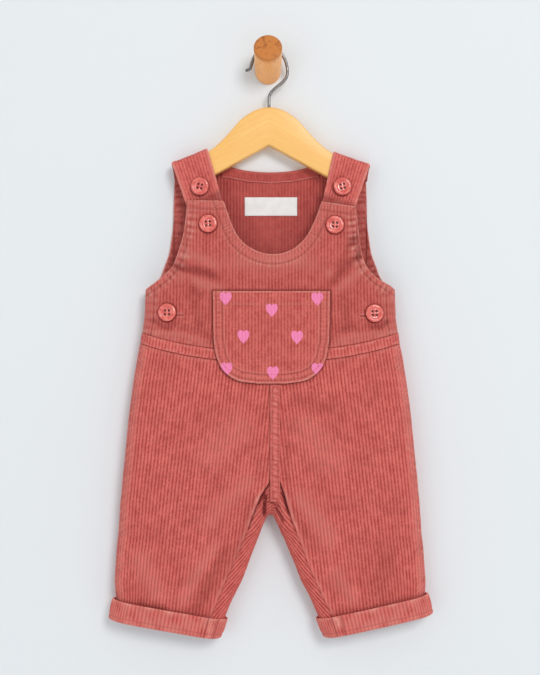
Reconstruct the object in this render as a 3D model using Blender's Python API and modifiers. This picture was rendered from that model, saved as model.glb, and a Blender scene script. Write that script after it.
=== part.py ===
"""Baby dungarees in wide-wale rib cord, on a wooden hanger that hangs from a wall peg.

Frame: +Z is up and the front faces -Y.  The origin is the middle of the peg's flat
end, on the wall plane y = 0, and everything lies in front of that plane (y < 0).
All sizes below are millimetres, turned into metres when a mesh is made.

Cloth is a wall between an outer and an inner skin.  The outer skin carries the wales
(the cord's ribs): its columns follow them, one column on each crest and one in each
valley.  The inner skin is plain, with fewer columns.
"""

import math

import bmesh
import bpy
import numpy as np
from mathutils import Matrix, Vector

MM = 0.001

# ---------------------------------------------------------------- driving sizes
CLOTH = 1.6                # thickness of one layer of cord, at a wale's crest
WALE_PITCH = 3.05          # crest to crest, bib, straps and pocket
LEG_WALE = 3.23            # crest to crest, legs
WALE_DEPTH = 0.5           # crest to valley
SEAM_GAP = 0.3             # between neighbouring pieces
INNER_STEP = 8             # outer columns for each inner column
LEG_STEP = 4               # the same, on the legs, whose inside seams curve
GARMENT_X = 2.2            # the garment's middle, right of the peg
HANGER_X = 1.0             # the hanger's middle, right of the peg

BIB_HALF_WIDTH = 117.5     # side seam to middle, laid flat, at the underarm
REFERENCE_DEPTH = 14.0     # half-depth at which columns are spaced along the cloth
EDGE_ROUND = 14.0          # how far in from a side the front rounds off
CROWN_REACH = 45.0         # how far in from a side the front still swells
CROWN_SHARE = 0.22         # share of the depth that this swelling makes

WAIST_SIDE_TOP = -250.0    # the waistband's upper line at the side seams
WAIST_MIDDLE_TOP = -267.5  # and in the middle, where it sags
WAIST_HEIGHT = 9.8
WAIST_SAG_POWER = 2.2
WAIST_PROUD = 0.6          # the band stands this far out from its neighbours

FORK_TOP = -388.3          # where the inside-leg seams leave the centre seam
FORK_BACK = -405.3         # the same seams, on the back

CUFF_HEIGHT = 19.5
CUFF_TUCK = 10.0           # how far a leg runs down inside its cuff
CUFF_GAP = 1.0             # the leg to the cuff's outer wall
CUFF_WALE = 3.7            # crest to crest round a cuff
CUFF_CROWDING = 12.0       # extra length counted for each radian a cuff turns
CUFF_STEP = 4              # points on its ribbed rings for each point on its plain rings
FELL_LOW = -407.0          # the lower end of the folded centre front seam
FELL_LIFT = 0.5            # its inner face to the cloth it lies on
FELL_THICK = 1.2

FACING_HALF_WIDTH = 46.0   # the facing that shows inside the back neck
FACING_BELOW_EDGE = 0.8
FACING_HEIGHT = 9.8
LABEL_LEFT = -24.4
LABEL_TOP = -121.0
LABEL_WIDTH = 50.0
LABEL_HEIGHT = 17.7
LABEL_THICK = 0.6

BUTTON_RADIUS = 8.1
BUTTON_THICK = 2.8
BUTTON_HOLE_RADIUS = 0.9
BUTTON_HOLE_OFFSET = 1.75
BUTTON_LIFT = 0.4          # a button's back above the wales it lies on
STRAP_BUTTON_LIFT = -1.4   # the same for the strap pair, which lie one layer deeper

PEG_LENGTH = 44.2
PEG_TILT = math.radians(17.0)
PEG_WALL_RADIUS = 12.4
PEG_END_RADIUS = 13.2
PEG_BEVEL = 1.4

HANGER_THICK = 12.0
HANGER_PLANE = -11.0       # y of the hanger's middle, and of its hook
HANGER_BEVEL = 2.2
HOOK_RADIUS = 1.35
HOOK_SOCKET_DEPTH = 12.0

COLOURS = {
    "cord_coral": ((0.50, 0.105, 0.090, 1.0), 0.92, 0.0),
    "button_coral": ((0.66, 0.150, 0.125, 1.0), 0.28, 0.0),
    "label_white": ((0.82, 0.78, 0.75, 1.0), 0.85, 0.0),
    "hanger_beech": ((0.93, 0.56, 0.20, 1.0), 0.42, 0.0),
    "hook_steel": ((0.42, 0.42, 0.42, 1.0), 0.30, 1.0),
    "peg_oak": ((0.68, 0.28, 0.075, 1.0), 0.48, 0.0),
}


def table(names, rows):
    """A short table as a dict: one array for each named column."""
    values = np.array(rows, dtype=float).T
    return dict(zip(names.split(), values))


# Half the garment's depth, front to back, and how far its back stands off the wall plane,
# at each height.  The cuffs lean on the wall, so the legs above them stand off.
DEPTHS = table(
    "height half_depth clearance",
    [
        (-550, 12.0, 4.6),
        (-490, 12.0, 4.4),
        (-450, 13.5, 2.4),
        (-420, 15.0, 1.5),
        (-390, 16.0, 1.5),
        (-330, 16.0, 1.5),
        (-260, 14.5, 1.5),
        (-210, 13.5, 1.5),
        (-170, 12.5, 1.5),
        (-130, 11.2, 1.5),
        (-100, 10.4, 1.5),
        (-60, 10.2, 1.5),
    ],
)

# The outline from the waist down, a row for each height: the outer sides of both legs,
# their inner sides, and the inside-leg seams as they show on the front.
OUTLINE = table(
    "height left_outer left_inner left_seam right_seam right_inner right_outer",
    [
        (-545, -152.2, -48.0, -62.5, 65.8, 51.8, 155.0),
        (-529, -149.8, -45.0, -59.3, 62.1, 48.4, 152.0),
        (-519, -148.2, -43.1, -56.5, 59.0, 46.4, 149.8),
        (-509, -146.6, -39.0, -52.7, 54.7, 42.0, 147.7),
        (-498, -145.2, -34.4, -48.1, 49.4, 36.9, 145.5),
        (-483, -146.3, -26.7, -42.0, 42.5, 28.9, 145.7),
        (-468, -145.3, -21.0, -35.0, 36.0, 23.3, 144.8),
        (-453, -144.4, -15.4, -28.3, 30.6, 16.7, 143.8),
        (-438, -142.5, -9.7, -22.3, 24.8, 10.1, 141.9),
        (-430, -142.1, -6.9, -19.6, 22.0, 7.2, 141.5),
        (-422, -141.6, -3.8, -17.0, 19.0, 3.8, 141.0),
        (-407, -140.6, 0.0, -11.2, 14.9, 0.0, 140.0),
        (-400, -139.6, 0.0, -8.0, 12.9, 0.0, 139.1),
        (-388.3, -138.6, 0.0, -0.15, 9.4, 0.0, 138.0),
        (-384, -138.2, 0.0, -0.15, 0.15, 0.0, 137.7),
        (-362, -135.9, 0.0, -0.15, 0.15, 0.0, 135.3),
        (-332, -133.1, 0.0, -0.15, 0.15, 0.0, 132.5),
        (-302, -129.3, 0.0, -0.15, 0.15, 0.0, 128.7),
        (-272, -124.6, 0.0, -0.15, 0.15, 0.0, 124.0),
        (-257, -121.4, 0.0, -0.15, 0.15, 0.0, 121.0),
        (-235, -118.6, 0.0, -0.15, 0.15, 0.0, 118.2),
        (-209, -117.5, 0.0, -0.15, 0.15, 0.0, 117.4),
        (-60, -117.5, 0.0, -0.15, 0.15, 0.0, 117.4),
    ],
)

# Where the back legs stop on the back.
BACK_SEAM = table(
    "height across",
    [
        (-545, 63.0),
        (-529, 59.4),
        (-519, 57.0),
        (-509, 52.4),
        (-498, 46.8),
        (-483, 38.6),
        (-453, 25.4),
        (-438, 18.7),
        (-430, 16.0),
        (-422, 13.0),
        (-411, 6.5),
        (-405.3, 0.15),
        (-60, 0.15),
    ],
)

# Upper edge of the front bib from left to right: armhole, tab, neckline, tab, armhole.
FRONT_EDGE = table(
    "across height",
    [
        (-117.4, -209.5),
        (-109.0, -204.0),
        (-101.6, -198.1),
        (-96.0, -193.2),
        (-91.6, -188.0),
        (-88.4, -181.5),
        (-84.6, -170.0),
        (-81.5, -158.5),
        (-79.4, -145.0),
        (-77.9, -128.7),
        (-76.5, -126.0),
        (-44.2, -126.3),
        (-42.4, -130.2),
        (-39.6, -138.7),
        (-36.5, -149.7),
        (-31.0, -159.7),
        (-23.3, -167.5),
        (-11.7, -173.9),
        (0.0, -176.6),
        (15.2, -172.4),
        (26.8, -165.1),
        (34.6, -153.5),
        (40.8, -141.8),
        (46.3, -129.0),
        (47.8, -127.1),
        (80.0, -131.8),
        (81.0, -139.0),
        (82.4, -153.0),
        (84.2, -168.0),
        (87.2, -181.9),
        (91.3, -190.2),
        (99.8, -198.9),
        (112.2, -205.9),
        (117.3, -209.5),
    ],
)

# Upper edge of the back bib, from the side seam to the middle; the right is its mirror.
BACK_EDGE = table(
    "across height",
    [
        (-117.4, -209.5),
        (-110.0, -204.5),
        (-104.6, -197.0),
        (-101.3, -188.3),
        (-98.4, -180.7),
        (-96.0, -173.0),
        (-93.8, -158.0),
        (-92.2, -142.5),
        (-91.6, -103.2),
        (-59.0, -91.2),
        (-46.0, -91.5),
        (-38.0, -92.3),
        (-21.4, -95.8),
        (0.0, -97.2),
    ],
)

# Lower edge of the pocket, from left to right.
POCKET_EDGE = table(
    "across height",
    [
        (-53.6, -213.5),
        (-52.6, -257.0),
        (-49.6, -273.5),
        (-45.6, -282.5),
        (-39.0, -289.6),
        (-29.0, -294.8),
        (-12.0, -297.3),
        (14.0, -297.3),
        (31.0, -294.8),
        (41.0, -289.6),
        (47.6, -282.5),
        (51.6, -273.5),
        (54.6, -257.0),
        (55.6, -213.5),
    ],
)
POCKET_TOP = -211.3

# The turn where the legs part: rows of the front seam on each leg, the fold between the
# legs and the back seam, all measured out from the middle.
FORK_ROWS = table(
    "front_left front_right front_z fold fold_z back back_z",
    [
        (0.15, 0.15, -388.9, 0.15, -421.3, 0.15, -405.9),
        (1.0, 9.0, -390.2, 0.9, -421.4, 1.5, -407.4),
        (3.6, 10.7, -394.0, 1.8, -421.8, 2.9, -408.8),
        (7.6, 12.5, -400.0, 3.3, -423.2, 6.0, -411.2),
        (11.4, 14.9, -408.6, 5.0, -426.5, 9.1, -416.0),
        (15.6, 17.9, -419.4, 7.3, -431.5, 13.3, -424.0),
        (19.8, 22.2, -431.8, 10.1, -439.0, 17.3, -436.0),
    ],
)
INLEG_WALE = 7.3           # wales on the slant cross the inner leg this far apart
INLEG_STEP = 4             # rows on its outer skin for each row on its inner skin
INLEG_TILT = math.radians(11.0)  # its rows rise from the fold to the seams by this much at the hem

# One strap: drop below its fold, and reach out from the hanger's plane (- is the front).
STRAP_PATH = table(
    "drop reach",
    [
        (74.0, -9.3),
        (60.0, -9.2),
        (46.0, -9.0),
        (30.0, -8.7),
        (16.0, -8.4),
        (6.0, -8.3),
        (2.2, -7.2),
        (0.5, -4.4),
        (0.0, 0.0),
        (0.5, 4.4),
        (2.2, 7.2),
        (6.0, 8.3),
        (13.2, 8.6),
    ],
)
STRAP_FOLD = (75.9, -82.9)       # middle of the fold, across and height
STRAP_SLOPE = math.radians(19.0) # the fold falls outwards by this angle
STRAP_WIDTH = 34.6
STRAP_LEAN = math.radians(18.0)  # the front run leans inwards by this angle
STRAP_BACK_LEAN = math.radians(2.0)
STRAP_TAPER = 0.04               # share of its width that a strap loses down the front

# Cuffs: where each leg's sides meet the cuff's top line.
CUFFS = {
    "left": {"outer": (-145.4, -499.7), "inner": (-42.3, -518.0)},
    "right": {"outer": (145.6, -495.2), "inner": (45.0, -517.6)},
}

# Buttons: name, across, height.  The strap pair sits on the straps, the tab pair on the
# bib's tabs, the side pair at the waist.
BUTTONS = [
    ("button_strap_left", -66.0, -113.0),
    ("button_strap_right", 67.5, -113.0),
    ("button_tab_left", -58.2, -148.2),
    ("button_tab_right", 60.3, -149.3),
    ("button_side_left", -96.0, -231.2),
    ("button_side_right", 96.9, -232.0),
]

# The hanger's outline, right half: across and height.
HANGER_TOP = [
    (0.0, -37.3), (8.0, -38.3), (14.9, -40.9), (21.5, -45.0), (27.4, -49.6), (33.5, -56.6),
    (39.8, -65.0), (46.0, -72.4), (52.5, -78.0), (59.5, -81.6), (66.0, -84.0), (72.0, -86.4),
    (77.0, -89.4), (80.6, -93.6), (81.8, -99.0), (80.4, -105.6), (76.0, -110.4), (69.5, -111.4),
]
HANGER_NOTCH = (0.0, -73.4)

# The hook's wire from its tip, round over the peg and down into the wood.
HOOK_ROUTE = [
    (-22.3, -2.3), (-20.0, -1.6), (-18.2, -0.5), (-17.4, 2.2), (-16.2, 6.6), (-13.9, 11.8),
    (-10.2, 16.0), (-5.4, 18.6), (0.0, 19.4), (5.2, 18.5), (9.6, 16.0), (13.1, 12.0),
    (15.7, 6.6), (17.1, 1.0), (17.4, -4.0), (16.2, -8.8), (13.0, -12.9), (9.0, -16.2),
    (5.2, -19.4), (2.2, -22.4), (0.6, -25.2), (0.0, -28.6), (0.0, -37.0), (0.0, -46.5),
]

# ---------------------------------------------------------------- the hanging form


def edge_rise(distance):
    """Share of the depth reached at a distance in from a side: a quarter ellipse times a crown."""
    near = 1 - np.clip(distance / EDGE_ROUND, 0, 1)
    crown = 1 - np.clip(distance / CROWN_REACH, 0, 1)
    return np.sqrt(1 - near**2) * (1 - CROWN_SHARE * crown**2)


def walk_table():
    """Distance in from a side, against length walked along the cloth from that side."""
    turn = EDGE_ROUND * (1 - np.cos(np.linspace(0, math.pi / 2, 60)))
    distance = np.concatenate([turn, np.linspace(EDGE_ROUND, 170, 300)[1:]])
    rise = REFERENCE_DEPTH * edge_rise(distance)
    walked = np.concatenate([[0], np.cumsum(np.hypot(np.diff(distance), np.diff(rise)))])
    return walked, distance


WALKED, DISTANCE = walk_table()


def inward(walked):
    """Distance in from a side after walking this far along the cloth."""
    return np.interp(walked, WALKED, DISTANCE)


def along(distance):
    """Length walked along the cloth to reach this distance in from a side."""
    return np.interp(distance, DISTANCE, WALKED)


def half_depth(height):
    return np.interp(height, DEPTHS["height"], DEPTHS["half_depth"])


def middle_plane(height):
    """y of the side seams, half a depth in front of the garment's back."""
    clearance = np.interp(height, DEPTHS["height"], DEPTHS["clearance"])
    return -clearance - half_depth(height)


def outline(column, height):
    return np.interp(height, OUTLINE["height"], OUTLINE[column])


def rise_at(x, height):
    """Share of the depth at a place on the front or back: rounded at each side of each leg."""
    outer = np.where(x < 0, outline("left_outer", height), outline("right_outer", height))
    inner = np.where(x < 0, outline("left_inner", height), outline("right_inner", height))
    low = np.clip((-360 - height) / 60, 0, 1)
    crown = 1 - np.clip(np.abs(inner - x) / CROWN_REACH, 0, 1)
    return edge_rise(np.abs(outer - x)) * (1 - low * CROWN_SHARE * crown**2)


def surface_y(x, height, side):
    """y of the plain outer surface; side is -1 for the front and 1 for the back."""
    return middle_plane(height) + side * half_depth(height) * rise_at(x, height)


def surface_points(x, height, side):
    return np.stack([x, surface_y(x, height, side), height], axis=-1)


def surface_normals(x, height, side):
    """Outward normals from small steps across and down the surface."""
    step = 0.05
    slope_x = (surface_y(x + step, height, side) - surface_y(x - step, height, side)) / (2 * step)
    slope_z = (surface_y(x, height + step, side) - surface_y(x, height - step, side)) / (2 * step)
    normals = np.stack([-slope_x, np.ones_like(slope_x), -slope_z], axis=-1) * side
    return normals / np.linalg.norm(normals, axis=-1, keepdims=True)


def waist_top(x):
    """The waistband's upper line: it sags from the side seams to the middle."""
    share = np.clip(np.abs(x) / BIB_HALF_WIDTH, 0, 1.05) ** WAIST_SAG_POWER
    return WAIST_MIDDLE_TOP + (WAIST_SIDE_TOP - WAIST_MIDDLE_TOP) * share


def cuff_top(x, side):
    """Height of a cuff's top line at a place across."""
    outer, inner = CUFFS[side]["outer"], CUFFS[side]["inner"]
    share = (x - outer[0]) / (inner[0] - outer[0])
    return outer[1] + (inner[1] - outer[1]) * share


# ---------------------------------------------------------------- making meshes


def material(name):
    """One Principled material for each finish."""
    found = bpy.data.materials.get(name)
    if found:
        return found
    colour, roughness, metallic = COLOURS[name]
    made = bpy.data.materials.new(name)
    made.use_nodes = True
    shader = made.node_tree.nodes["Principled BSDF"]
    shader.inputs["Base Color"].default_value = colour
    shader.inputs["Roughness"].default_value = roughness
    shader.inputs["Metallic"].default_value = metallic
    made.diffuse_color = colour
    return made


def add_object(name, data, collection, finish):
    made = bpy.data.objects.new(name, data)
    data.materials.append(material(finish))
    collection.objects.link(made)
    return made


def mesh_object(name, points, faces, collection, finish):
    """Points in millimetres and their faces as one object, its normals pointing out."""
    mesh = bpy.data.meshes.new(name)
    mesh.from_pydata((np.asarray(points) * MM).tolist(), [], faces)
    sheet = bmesh.new()
    sheet.from_mesh(mesh)
    bmesh.ops.recalc_face_normals(sheet, faces=sheet.faces[:])
    if sheet.calc_volume(signed=True) < 0:
        bmesh.ops.reverse_faces(sheet, faces=sheet.faces[:])
    sheet.to_mesh(mesh)
    sheet.free()
    made = add_object(name, mesh, collection, finish)
    mesh.shade_smooth()
    mesh.set_sharp_from_angle(angle=math.radians(50))
    return made


def zip_rim(outer, inner, step):
    """Faces between an outer chain and an inner chain with one point for each step of it."""
    faces = []
    for m in range(len(inner) - 1):
        first, last = m * step, (m + 1) * step
        middle = (first + last) // 2
        faces += [(outer[k], outer[k + 1], inner[m]) for k in range(first, middle)]
        faces.append((outer[middle], inner[m + 1], inner[m]))
        faces += [(outer[k], outer[k + 1], inner[m + 1]) for k in range(middle, last)]
    return faces


def wall_faces(columns, rows, step):
    """Faces of a wall: a fine outer grid, a coarse inner grid and the rims between them."""
    inner_columns = columns // step
    first_inner = (columns + 1) * (rows + 1)

    def outer(k, j):
        return k * (rows + 1) + j

    def inner(m, j):
        return first_inner + m * (rows + 1) + j

    faces = []
    for j in range(rows):
        faces += [
            (outer(k, j), outer(k + 1, j), outer(k + 1, j + 1), outer(k, j + 1))
            for k in range(columns)
        ]
        faces += [
            (inner(m, j), inner(m, j + 1), inner(m + 1, j + 1), inner(m + 1, j))
            for m in range(inner_columns)
        ]
        faces.append((outer(0, j), outer(0, j + 1), inner(0, j + 1), inner(0, j)))
        end = (outer(columns, j), outer(columns, j + 1))
        faces.append((end[1], end[0], inner(inner_columns, j), inner(inner_columns, j + 1)))
    for j in (0, rows):
        outer_chain = [outer(k, j) for k in range(columns + 1)]
        inner_chain = [inner(m, j) for m in range(inner_columns + 1)]
        faces += zip_rim(outer_chain, inner_chain, step)
    return faces


def wall(name, outer, inner, collection, finish="cord_coral"):
    """A closed wall from an outer grid and an inner grid with fewer columns, the same rows."""
    columns, rows = outer.shape[0] - 1, outer.shape[1] - 1
    step = columns // (inner.shape[0] - 1)
    points = np.concatenate([outer.reshape(-1, 3), inner.reshape(-1, 3)])
    return mesh_object(name, points, wall_faces(columns, rows, step), collection, finish)


def wales(count):
    """How far each column lies below the crests: none, then a wale's depth, in turn."""
    return WALE_DEPTH * (np.arange(count) % 2)


def keep_side(points, side):
    """Points held on their own side of the middle plane, half a seam gap clear of it."""
    limit = middle_plane(points[..., 2]) + side * SEAM_GAP / 2
    points[..., 1] = side * np.maximum(side * points[..., 1], side * limit)
    return points


def panel(name, x, height, side, collection, rise=0.0, thick=CLOTH, ribs=True, step=INNER_STEP):
    """A piece that lies on the hanging form: its grid of places, moved out by its rise."""
    columns = x.shape[0]
    drop = wales(columns)[:, None] if ribs else np.zeros((columns, 1))
    plain = surface_points(x, height, side)
    normals = surface_normals(x, height, side)
    outer = plain + normals * (rise - drop)[..., None]
    inner = (plain + normals * (rise - thick))[::step]
    outer, inner = keep_side(outer, side), keep_side(inner, side)
    made = wall(name, outer, inner, collection)
    made.location.x = GARMENT_X * MM
    return made


def spread(low, high, rows):
    """Heights from low to high in each column, evenly spaced."""
    share = np.linspace(0, 1, rows + 1)[None, :]
    return low[:, None] * (1 - share) + high[:, None] * share


def snapped(places, keys):
    """Column places with the nearest one moved onto each key, so that corners stay sharp."""
    places = places.copy()
    taken = set()
    for key in keys:
        order = np.argsort(np.abs(places - key))
        nearest = next(int(k) for k in order if int(k) not in taken)
        taken.add(nearest)
        places[nearest] = key
    return np.sort(places)


def across_columns(low, high, pitch, step=INNER_STEP):
    """Places across the body between two limits, evenly spaced along the cloth."""
    start = along(low + BIB_HALF_WIDTH)
    total = 2 * along(BIB_HALF_WIDTH)
    end = total - along(BIB_HALF_WIDTH - high)
    count = max(1, round((end - start) / (pitch / 2) / step)) * step
    walked = np.linspace(start, end, count + 1)
    left = inward(walked) - BIB_HALF_WIDTH
    right = BIB_HALF_WIDTH - inward(total - walked)
    return np.where(walked < total / 2, left, right)


def widened(x, height):
    """Places set for the underarm's width, moved out where the sides spread below it."""
    left = outline("left_outer", height) / -BIB_HALF_WIDTH
    right = outline("right_outer", height) / BIB_HALF_WIDTH
    return x * np.where(x < 0, left, right)


# ---------------------------------------------------------------- the pieces


def bib(name, side, edge, keys, rows, collection):
    """A bib panel: upright wales from the waistband up to its cut edge."""
    x = snapped(across_columns(-BIB_HALF_WIDTH, BIB_HALF_WIDTH, WALE_PITCH), keys)
    top = np.interp(x, edge["across"], edge["height"])
    low = waist_top(x) + SEAM_GAP
    height = spread(low, top, rows)
    return panel(name, widened(x[:, None], height), height, side, collection)


def waistband(name, side, collection):
    """The narrow band between bib and trousers, a little proud of both."""
    x = across_columns(-BIB_HALF_WIDTH, BIB_HALF_WIDTH, 24.0, 1)
    top = waist_top(x)
    height = spread(top - WAIST_HEIGHT, top, 2)
    spots = widened(x[:, None], height)
    thick = CLOTH + WAIST_PROUD
    return panel(name, spots, height, side, collection, WAIST_PROUD, thick, ribs=False, step=1)


def leg_columns(leg, side):
    """Places and heights of a trouser panel's columns, which run parallel to the side seam."""
    sign = -1 if leg == "left" else 1
    samples = np.linspace(-545, -255, 1800)
    outer = outline(leg + "_outer", samples)
    if side < 0:
        limit = np.abs(outline(leg + "_seam", samples))
        corner = FORK_TOP if leg == "left" else -389.5
    else:
        limit = np.interp(samples, BACK_SEAM["height"], BACK_SEAM["across"])
        corner = FORK_BACK
    limit = np.maximum(limit, SEAM_GAP / 2)
    corner_limit = np.interp(corner, samples, limit)
    widest = abs(outline(leg + "_outer", corner)) - corner_limit - 0.9
    count = round(along(widest) / (LEG_WALE / 2) / LEG_STEP) * LEG_STEP
    walked = np.linspace(0, along(widest), count + 1)
    place = np.abs(outer)[None, :] - inward(walked)[:, None]
    waist = waist_top(place * BIB_HALF_WIDTH / np.abs(outer)) - WAIST_HEIGHT - SEAM_GAP
    hem = cuff_top(sign * place, leg) - CUFF_TUCK
    inside = (samples < waist) & (samples > hem) & (place > limit)
    top = np.where(inside, samples, -1e9).max(axis=1)
    low = np.where(inside, samples, 1e9).min(axis=1)
    return walked, low, top, sign


def trouser(name, leg, side, rows, collection):
    """A front or back leg: wales parallel to the side seam, cut off by the inside seam."""
    walked, low, top, sign = leg_columns(leg, side)
    height = spread(low, top, rows)
    x = sign * (np.abs(outline(leg + "_outer", height)) - inward(walked)[:, None])
    return panel(name, x, height, side, collection, step=LEG_STEP)


def fork_curve(front, fold, back, share):
    """A quarter turn from the front seam to the fold, and another on to the back seam."""
    angle = share * math.pi
    fore = angle < math.pi / 2
    start = np.where(fore[..., None], front, back)
    blend = np.sin(angle)[..., None]
    flat = start + (fold - start) * blend
    depth = np.where(fore, front[..., 1] - fold[..., 1], back[..., 1] - fold[..., 1])
    flat[..., 1] = fold[..., 1] + depth * np.abs(np.cos(angle))
    return flat


def inleg_chains(leg):
    """The front seam, fold and back seam of an inner leg from the fork to the hem, and lengths."""
    rows = FORK_ROWS
    end = cuff_top(CUFFS[leg]["inner"][0], leg) - CUFF_TUCK
    lower = np.linspace(-442.0, end, 14)
    fold = np.abs(outline(leg + "_inner", lower))
    tilt = math.tan(INLEG_TILT) * np.linspace(0.3, 1, len(lower))
    front_z = lower + tilt * (np.abs(outline(leg + "_seam", lower)) - fold)
    back_z = lower + tilt * (np.interp(lower, BACK_SEAM["height"], BACK_SEAM["across"]) - fold)
    seam = np.abs(outline(leg + "_seam", front_z)) - 2.5 * SEAM_GAP
    behind = np.interp(back_z, BACK_SEAM["height"], BACK_SEAM["across"]) - 3 * SEAM_GAP
    chains = [
        (rows["front_" + leg], rows["front_z"], seam, front_z, -1),
        (rows["fold"], rows["fold_z"], fold, lower, 0),
        (rows["back"], rows["back_z"], behind, back_z, 1),
    ]
    length = None
    found = []
    for fork_x, fork_z, leg_x, leg_z, side in chains:
        x, z = np.append(fork_x, leg_x), np.append(fork_z, leg_z)
        if length is None:
            length = np.concatenate([[0], np.cumsum(np.hypot(np.diff(x), np.diff(z)))])
        found.append((x, z, side))
    return found, length


def inleg(name, leg, collection):
    """The inner leg, rolled from the back round to the front seam, ribbed across."""
    sign = -1 if leg == "left" else 1
    found, length = inleg_chains(leg)
    count = INLEG_STEP * round(2 * length[-1] / INLEG_WALE / INLEG_STEP)
    even = np.linspace(0, length[-1], count + 1)
    lines, ends = [], []
    for x, z, side in found:
        x = sign * np.interp(even, length, x)
        z = np.interp(even, length, z)
        y = surface_y(x, z, side) if side else middle_plane(z)
        lines.append(np.stack([x, y, z], axis=-1)[:, None])
        ends.append(surface_normals(x, z, side) if side else None)
    share = np.linspace(0, 1, 7)[None, :].repeat(count + 1, axis=0)
    grid = fork_curve(*lines, share)
    normals = np.cross(np.gradient(grid, axis=1), np.gradient(grid, axis=0))
    normals /= np.linalg.norm(normals, axis=-1, keepdims=True)
    normals *= np.sign((normals[:, 0] * ends[0]).sum())
    normals[:, 0], normals[:, -1] = ends[0], ends[2]
    outer = grid - normals * wales(count + 1)[:, None, None]
    inner = (grid - normals * CLOTH)[::INLEG_STEP]
    made = wall(name, outer, inner, collection)
    made.location.x = GARMENT_X * MM
    return made


def fork_face(x, height):
    """y of the right leg's front or inner leg surface, at places beside the fork."""
    rows = FORK_ROWS
    fallen = (rows["front_z"] - height) / (rows["front_z"] - rows["fold_z"])
    seam = float(outline("right_seam", height))
    passed = (fallen >= 0) & (fallen <= 1) & (height < FORK_TOP)
    fallen = fallen[passed]
    front, fold = rows["front_right"][passed], rows["fold"][passed]
    front_y = surface_y(front, rows["front_z"][passed], -1)
    fold_y = middle_plane(rows["fold_z"][passed])
    across = front + (fold - front) * fallen
    depth = fold_y + (front_y - fold_y) * np.sqrt(1 - fallen**2)
    if height > FORK_TOP:
        return surface_y(x, height, -1)
    edge = surface_y(np.array(seam), height, -1)
    return np.interp(x, np.append(across, seam), np.append(depth, edge))


def centre_fell(name, collection):
    """The folded centre front seam: a narrow raised band, down to where the legs part."""
    x = np.linspace(0.6, 8.8, 5)
    top = POCKET_EDGE["height"].min() - 1.2
    height = np.concatenate([np.linspace(FELL_LOW, FORK_TOP, 7), np.linspace(FORK_TOP, top, 5)[1:]])
    rows = [np.stack([x, fork_face(x, z), np.full(5, z)], axis=-1) for z in height]
    plain = np.stack(rows, axis=1)
    slope = np.gradient(plain[..., 1], height, axis=1)
    normals = np.stack([np.zeros_like(slope), -np.ones_like(slope), slope], axis=-1)
    normals /= np.linalg.norm(normals, axis=-1, keepdims=True)
    rounding = np.array([0.45, 0.0, 0.2, 0.0, 0.45])[:, None, None]
    outer = plain + normals * (FELL_LIFT + FELL_THICK - rounding)
    made = wall(name, outer, (plain + normals * FELL_LIFT)[::2], collection)
    made.location.x = GARMENT_X * MM
    return made


def strap(name, sign, collection):
    """A strap: up the front, over the hanger's arm and a short way down the back."""
    drop, reach = STRAP_PATH["drop"], STRAP_PATH["reach"]
    front = reach < 0
    count = INNER_STEP * round(STRAP_WIDTH / (WALE_PITCH / 2) / INNER_STEP)
    wide = np.linspace(-0.5, 0.5, count + 1)[:, None] * STRAP_WIDTH
    lean = np.where(front, STRAP_LEAN, STRAP_BACK_LEAN)
    taper = 1 - STRAP_TAPER * np.where(front, drop / drop.max(), 0)
    x = STRAP_FOLD[0] - drop * np.sin(lean) - wide * math.cos(STRAP_SLOPE) * taper
    z = STRAP_FOLD[1] - drop * np.cos(lean) + wide * math.sin(STRAP_SLOPE) * taper
    under_tab = surface_y(sign * x, z, -1) + CLOTH + 2 * SEAM_GAP
    tucked = np.clip((drop - 30) / 16, 0, 1) * front
    y = under_tab * tucked + (HANGER_PLANE + reach) * (1 - tucked)
    grid = np.stack([sign * x, y, z], axis=-1)
    slope = np.gradient(grid, axis=1)
    normals = np.stack([np.zeros_like(y), -slope[..., 2], slope[..., 1]], axis=-1)
    normals /= np.linalg.norm(normals, axis=-1, keepdims=True)
    outer = grid - normals * wales(count + 1)[:, None, None]
    inner = (grid - normals * CLOTH)[::INNER_STEP]
    made = wall(name, outer, inner, collection)
    made.location.x = GARMENT_X * MM
    return made


def pocket(name, collection):
    """The pouch on the front, over the waistband, hemmed straight across the top."""
    left, right = POCKET_EDGE["across"][0], POCKET_EDGE["across"][-1]
    x = across_columns(left, right, WALE_PITCH)
    low = np.interp(x, POCKET_EDGE["across"], POCKET_EDGE["height"])
    height = spread(low, np.full(len(x), POCKET_TOP), 3)
    rise = WAIST_PROUD + SEAM_GAP + CLOTH
    places = np.repeat(x[:, None], 4, axis=1)
    return panel(name, places, height, -1, collection, rise, CLOTH)


def inner_patch(name, x, low, top, thick, collection, finish):
    """A flat piece on the inner face of the back bib, thick millimetres through."""
    height = spread(low, top, 2)
    places = np.repeat(x[:, None], 3, axis=1)
    plain = surface_points(places, height, 1)
    normals = surface_normals(places, height, 1)
    near = plain - normals * (CLOTH + SEAM_GAP)
    far = plain - normals * (CLOTH + SEAM_GAP + thick)
    made = wall(name, far, near, collection, finish)
    made.location.x = GARMENT_X * MM
    return made


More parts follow.
